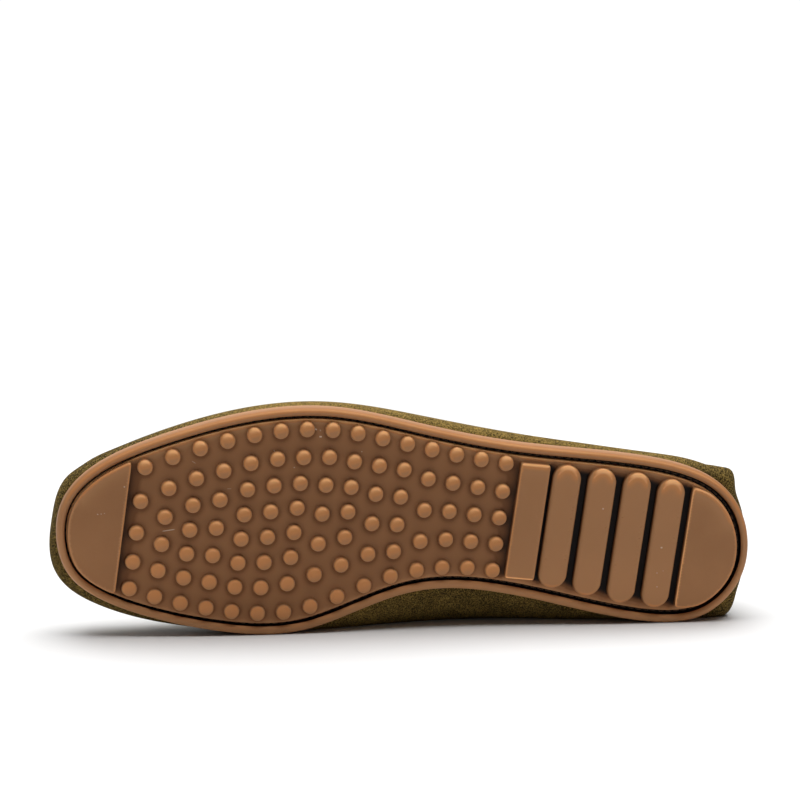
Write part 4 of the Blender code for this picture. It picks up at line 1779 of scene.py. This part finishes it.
    def relief(self, grid: Array) -> tuple[Array, Array]:
        """Shapes the collar's bead, the puckers beside the apron seam and the heel seam.

        Args:
            grid: The smooth form's points by section and level.

        Returns:
            How far they stand out of the smooth form, and the suede's tone: painted light and shade
            on the puckers, painted light on the seam's ridge and painted shade in the troughs.
        """
        is_open = np.zeros((len(grid), 1))
        is_open[self.open_sections()] = 1.0
        run = run_length(grid.transpose(1, 0, 2)).T
        from_top = run[:, -1:] - run
        first, middle, end = self.seam_rows
        below = run[:, [first]] - run
        gather = ease(grid[..., 0], *self.pucker_front) * ease(below, *self.pucker_below)
        gather *= 1.0 - ease(below, *self.pucker_fade)
        gone = run_length(grid[:, first])[:, None]
        fold = gather * np.cos(gone / self.pucker_pitch * 2.0 * math.pi)
        back = np.linalg.norm(grid[..., :2] - grid[:1, :, :2], axis=-1)
        bead = 1.0 - ease(from_top - self.bead_width, -self.bead_soft, self.bead_soft)
        lift = self.bead_rise * is_open * bead + self.pucker_rise * fold
        lift -= self.heel_seam_depth * bell(back, self.heel_seam_width)
        lift += self.heel_lip * bell(back - self.heel_lip_at, self.heel_seam_width)
        # Painted shade in the troughs under the bead, along the heel seam and beside the apron
        # seam; painted light on its ridge.
        sewn = ease(grid[:, :1, 0], *self.seam_span)
        trough = is_open * bell(from_top - self.bead_width, self.trough_width)
        trough += bell(back, self.trough_width)
        for row in (first, end):
            trough += sewn * bell(run - run[:, [row]], self.trough_width)
        ridge = sewn * bell(run - run[:, [middle]], self.trough_width)
        return lift, self.fold_painted_shading * fold + self.ridge_painted_light * ridge - self.trough_painted_shade * trough

    def build(self) -> bpy.types.Object:
        """Builds and dresses the upper.

        Returns:
            The piece.
        """
        form, rise = self.shape()
        relief, tone = self.relief(form)
        self.outer = self.weld(self.rest(form + (rise + relief)[..., None] * self.normals(form)))
        flat = self.rest(form)
        inner = flat - self.wall * self.normals(flat)
        inner[:, 0, 2] = self.outer[:, 0, 2]
        draft = Draft(self.last)
        sections, levels, _ = form.shape
        outer_id = draft.add(self.outer.reshape(-1, 3), tone.ravel()).reshape(sections, levels)
        inner_id = draft.add(self.weld(inner).reshape(-1, 3)).reshape(sections, levels)
        front = self.spine(sections)
        for ids in (outer_id, inner_id):
            ids[-front, -1] = ids[front, -1]
        for level in range(levels - 1):
            draft.band(outer_id[:, level], outer_id[:, level + 1])
            draft.band(inner_id[:, level + 1], inner_id[:, level], finish=1)
        draft.band(inner_id[:, 0], outer_id[:, 0])
        self.collar(draft, outer_id, inner_id)
        piece = draft.piece("upper_dressed", Slot.SUEDE, OliveSuede().make(), self.lining.make())
        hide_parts("upper")
        return piece

    def rest(self, grid: Array) -> Array:
        """Flattens the form where it lies on the floor."""
        below = np.minimum(self.last.over_floor(grid), 0.0)
        return grid - below[..., None] * self.last.plane

    def collar(self, draft: Draft, outer_id: Array, inner_id: Array) -> None:
        """Adds the round edge of the collar between the outer and the inner side.

        Args:
            draft: The mesh that it goes into.
            outer_id: Point numbers of the outer side, by section and level.
            inner_id: Those of the inner side.
        """
        order = self.open_sections()
        first, last = outer_id[order, -1], inner_id[order, -1]
        outer, below, inner = (draft.at(ids) for ids in (first, outer_id[order, -2], last))
        middle, half = (outer + inner) / 2.0, (outer - inner) / 2.0
        up = unit(outer - below) * self.collar_round
        up[[0, -1]] = np.array([-self.collar_round, 0.0, 0.0])
        rows = [first]
        for angle in np.linspace(0.0, math.pi, self.collar_steps + 2)[1:-1]:
            row = middle + math.cos(angle) * half + math.sin(angle) * up
            row[0] = row[-1] = (row[0] + row[-1]) / 2.0
            ids = draft.add(row)
            ids[0] = ids[-1]
            rows.append(ids)
        draft.loft(rows + [last], closed=False)


@dataclass
class UpperThread:
    """The stitches of the apron seam and the row under the collar."""

    last: Last
    upper: Upper
    apron_pitch: float = 5.2
    apron_radius: float = 0.42
    apron_rise: float = 0.12
    apron_taper: float = 0.5
    collar_drop: float = 4.6
    collar_row: int = -3
    throat_clear: int = 3
    stitch: Stitch = Stitch(3.4, 2.6, 0.3, (-0.15, 0.12, 0.18, 0.12, -0.15))
    thread: Thread = Thread("olive_thread", (0.045, 0.036, 0.010), (0.13, 0.105, 0.036))

    def build(self) -> bpy.types.Object:
        """Builds and dresses the stitches.

        Returns:
            The piece.
        """
        draft = Draft(self.last)
        normal = self.upper.normals(self.upper.outer)
        self.apron(draft, normal)
        self.collar(draft, normal)
        return draft.piece("upper_stitches", Slot.SUEDE, self.thread.make())

    def apron(self, draft: Draft, normal: Array) -> None:
        """Adds a stitch across the seam's ridge at every pitch.

        Args:
            draft: The mesh that they go into.
            normal: The upper's normals, by section and level.
        """
        grid = self.upper.outer
        first, middle, end = self.upper.seam_rows
        line = grid[:, middle]
        run = run_length(line)
        rows = np.arange(first - 1, end + 2)
        radii = np.full(len(rows), self.apron_radius)
        radii[[0, -1]] *= self.apron_taper
        due = 0.0
        for k in range(len(grid)):
            if line[k, 0] >= self.upper.seam_span[1] and run[k] >= due:
                due = run[k] + self.apron_pitch
                draft.rod(grid[k, rows] + self.apron_rise * normal[k, rows], radii)

    def collar(self, draft: Draft, normal: Array) -> None:
        """Adds the row of stitches under the collar's bead.

        Args:
            draft: The mesh that they go into.
            normal: The upper's normals, by section and level.
        """
        stitch, order = self.stitch, self.upper.open_sections(self.throat_clear)
        down = self.upper.outer[order, ::-1]
        line = np.array([read_path(self.collar_drop, run_length(path), path) for path in down])
        way = normal[order, self.collar_row]
        run = run_length(line)
        for middle in np.arange(stitch.pitch, run[-1] - stitch.pitch, stitch.pitch):
            at = stitch.along(middle)
            lift = read_path(at, run, way) * np.array(stitch.shift)[:, None]
            draft.rod(read_path(at, run, line) + lift, stitch.radius * np.array(stitch.taper))


@dataclass
class Insole:
    """The leather sock on its board, inside the upper."""

    last: Last
    inset: float = 4.0
    thick: float = 3.0
    edge: float = 0.8
    sections: int = 240
    edge_steps: int = 5
    sock: Leather = Leather("tan_sock", (0.30, 0.17, 0.075), (0.46, 0.28, 0.14))

    def build(self) -> bpy.types.Object:
        """Builds and dresses the insole.

        Returns:
            The piece.
        """
        draft = Draft(self.last)
        turns = even_turns(self.sections)
        low = self.last.sole_top + self.last.piece_gap
        rings = [draft.add(self.last.ring(turns, self.inset, low))]
        for angle in np.linspace(0.0, QUARTER, self.edge_steps):
            inset = self.inset + self.edge * (1.0 - math.cos(angle))
            height = low + self.thick - self.edge * (1.0 - math.sin(angle))
            rings.append(draft.add(self.last.ring(turns, inset, height)))
        draft.loft(rings)
        draft.lid(rings[0])
        draft.lid(rings[-1])
        piece = draft.piece("insole_dressed", Slot.LEATHER, self.sock.make())
        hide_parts("insole")
        return piece


@dataclass
class Studio:
    """The pale floor, the soft light and the camera, in metres."""

    target: tuple[float, float, float] = (-0.003160, -0.032983, 0.046604)
    azimuth: float = -9.0
    elevation: float = 9.0
    distance: float = 1.2
    aim_azimuth: float = -8.9605
    aim_elevation: float = 6.604
    lens: float = 130.68
    sensor: float = 36.0
    floor_low: Span = (-2.5, -2.5)
    floor_high: Span = (2.5, 0.6)
    floor_colour: Colour = (0.77, 0.77, 0.77)
    floor_roughness: float = 0.8
    floor_specular: float = 0.1
    sky_dim: float = 0.08
    sky_bright: float = 0.96
    sky_span: Span = (0.6, 0.93)
    box_place: tuple[float, float, float] = (0.05, 0.22, 1.5)
    box_size: float = 1.9
    box_power: float = 51.0

    def back(self, azimuth: float, elevation: float) -> Vector:
        """Returns the way from the shoe to a camera at these angles."""
        a, e = math.radians(azimuth), math.radians(elevation)
        return Vector((math.sin(a) * math.cos(e), -math.cos(a) * math.cos(e), math.sin(e)))

    def build(self) -> None:
        """Sets up the whole studio."""
        for step in (self.floor, self.sky, self.light, self.camera):
            step()

    def floor(self) -> None:
        """Makes the floor, bare and matt."""
        (left, near), (right, far) = self.floor_low, self.floor_high
        corners = [(left, near, 0.0), (right, near, 0.0), (right, far, 0.0), (left, far, 0.0)]
        mesh = bpy.data.meshes.new("studio_floor")
        mesh.from_pydata(corners, [], [(0, 1, 2, 3)])
        material, bench = new_material("pale_floor")
        bench.surface({
            "Base Color": (*self.floor_colour, 1.0),
            "Roughness": self.floor_roughness,
            "Specular IOR Level": self.floor_specular,
        })
        mesh.materials.append(material)
        plane = put("studio_floor", mesh)

    def sky(self) -> None:
        """Makes the studio bright behind the shoe and dim in front of it."""
        world = bpy.data.worlds.new("studio")
        world.use_nodes = True
        bpy.context.scene.world = world
        bench = Bench(world.node_tree)
        way = bench.node("ShaderNodeTexCoord", {}, {}, "Generated")
        bright = self.sky_dim + self.sky_bright * way.part("Y").step(*self.sky_span)
        sockets = {"Color": (1.0, 1.0, 1.0, 1.0), "Strength": bright}
        shader = bench.node("ShaderNodeBackground", {}, sockets)
        bench.node("ShaderNodeOutputWorld", {}, {"Surface": shader})

    def light(self) -> None:
        """Hangs the large soft box over the shoe."""
        lamp = bpy.data.lights.new("soft_box", "AREA")
        lamp.size = self.box_size
        lamp.energy = self.box_power
        holder = put("soft_box", lamp)
        holder.location = self.box_place
        holder.rotation_euler = Vector(self.box_place).to_track_quat("Z", "Y").to_euler()

    def camera(self) -> None:
        """Sets the camera at the photograph's angle."""
        lens = bpy.data.cameras.new("camera")
        lens.lens = self.lens
        lens.sensor_width = self.sensor
        holder = put("camera", lens)
        away = self.back(self.azimuth, self.elevation) * self.distance
        holder.location = Vector(self.target) + away
        aim = -self.back(self.aim_azimuth, self.aim_elevation)
        holder.rotation_euler = aim.to_track_quat("-Z", "Y").to_euler()
        bpy.context.scene.camera = holder
        bpy.context.scene.view_settings.view_transform = "Standard"


def main() -> None:
    """Builds the loafer's pieces in order, and the studio."""
    logging.basicConfig(level=logging.INFO, format="%(message)s")
    last = Last()
    upper = Upper(last)
    for part in (Outsole(last), GrooveThread(last), upper, UpperThread(last, upper), Insole(last)):
        piece = part.build()
        triangles = sum(len(polygon.vertices) - 2 for polygon in piece.data.polygons)
        LOG.info("%s: %d triangles", piece.name, triangles)
    Studio().build()


if __name__ == "__main__":
    main()
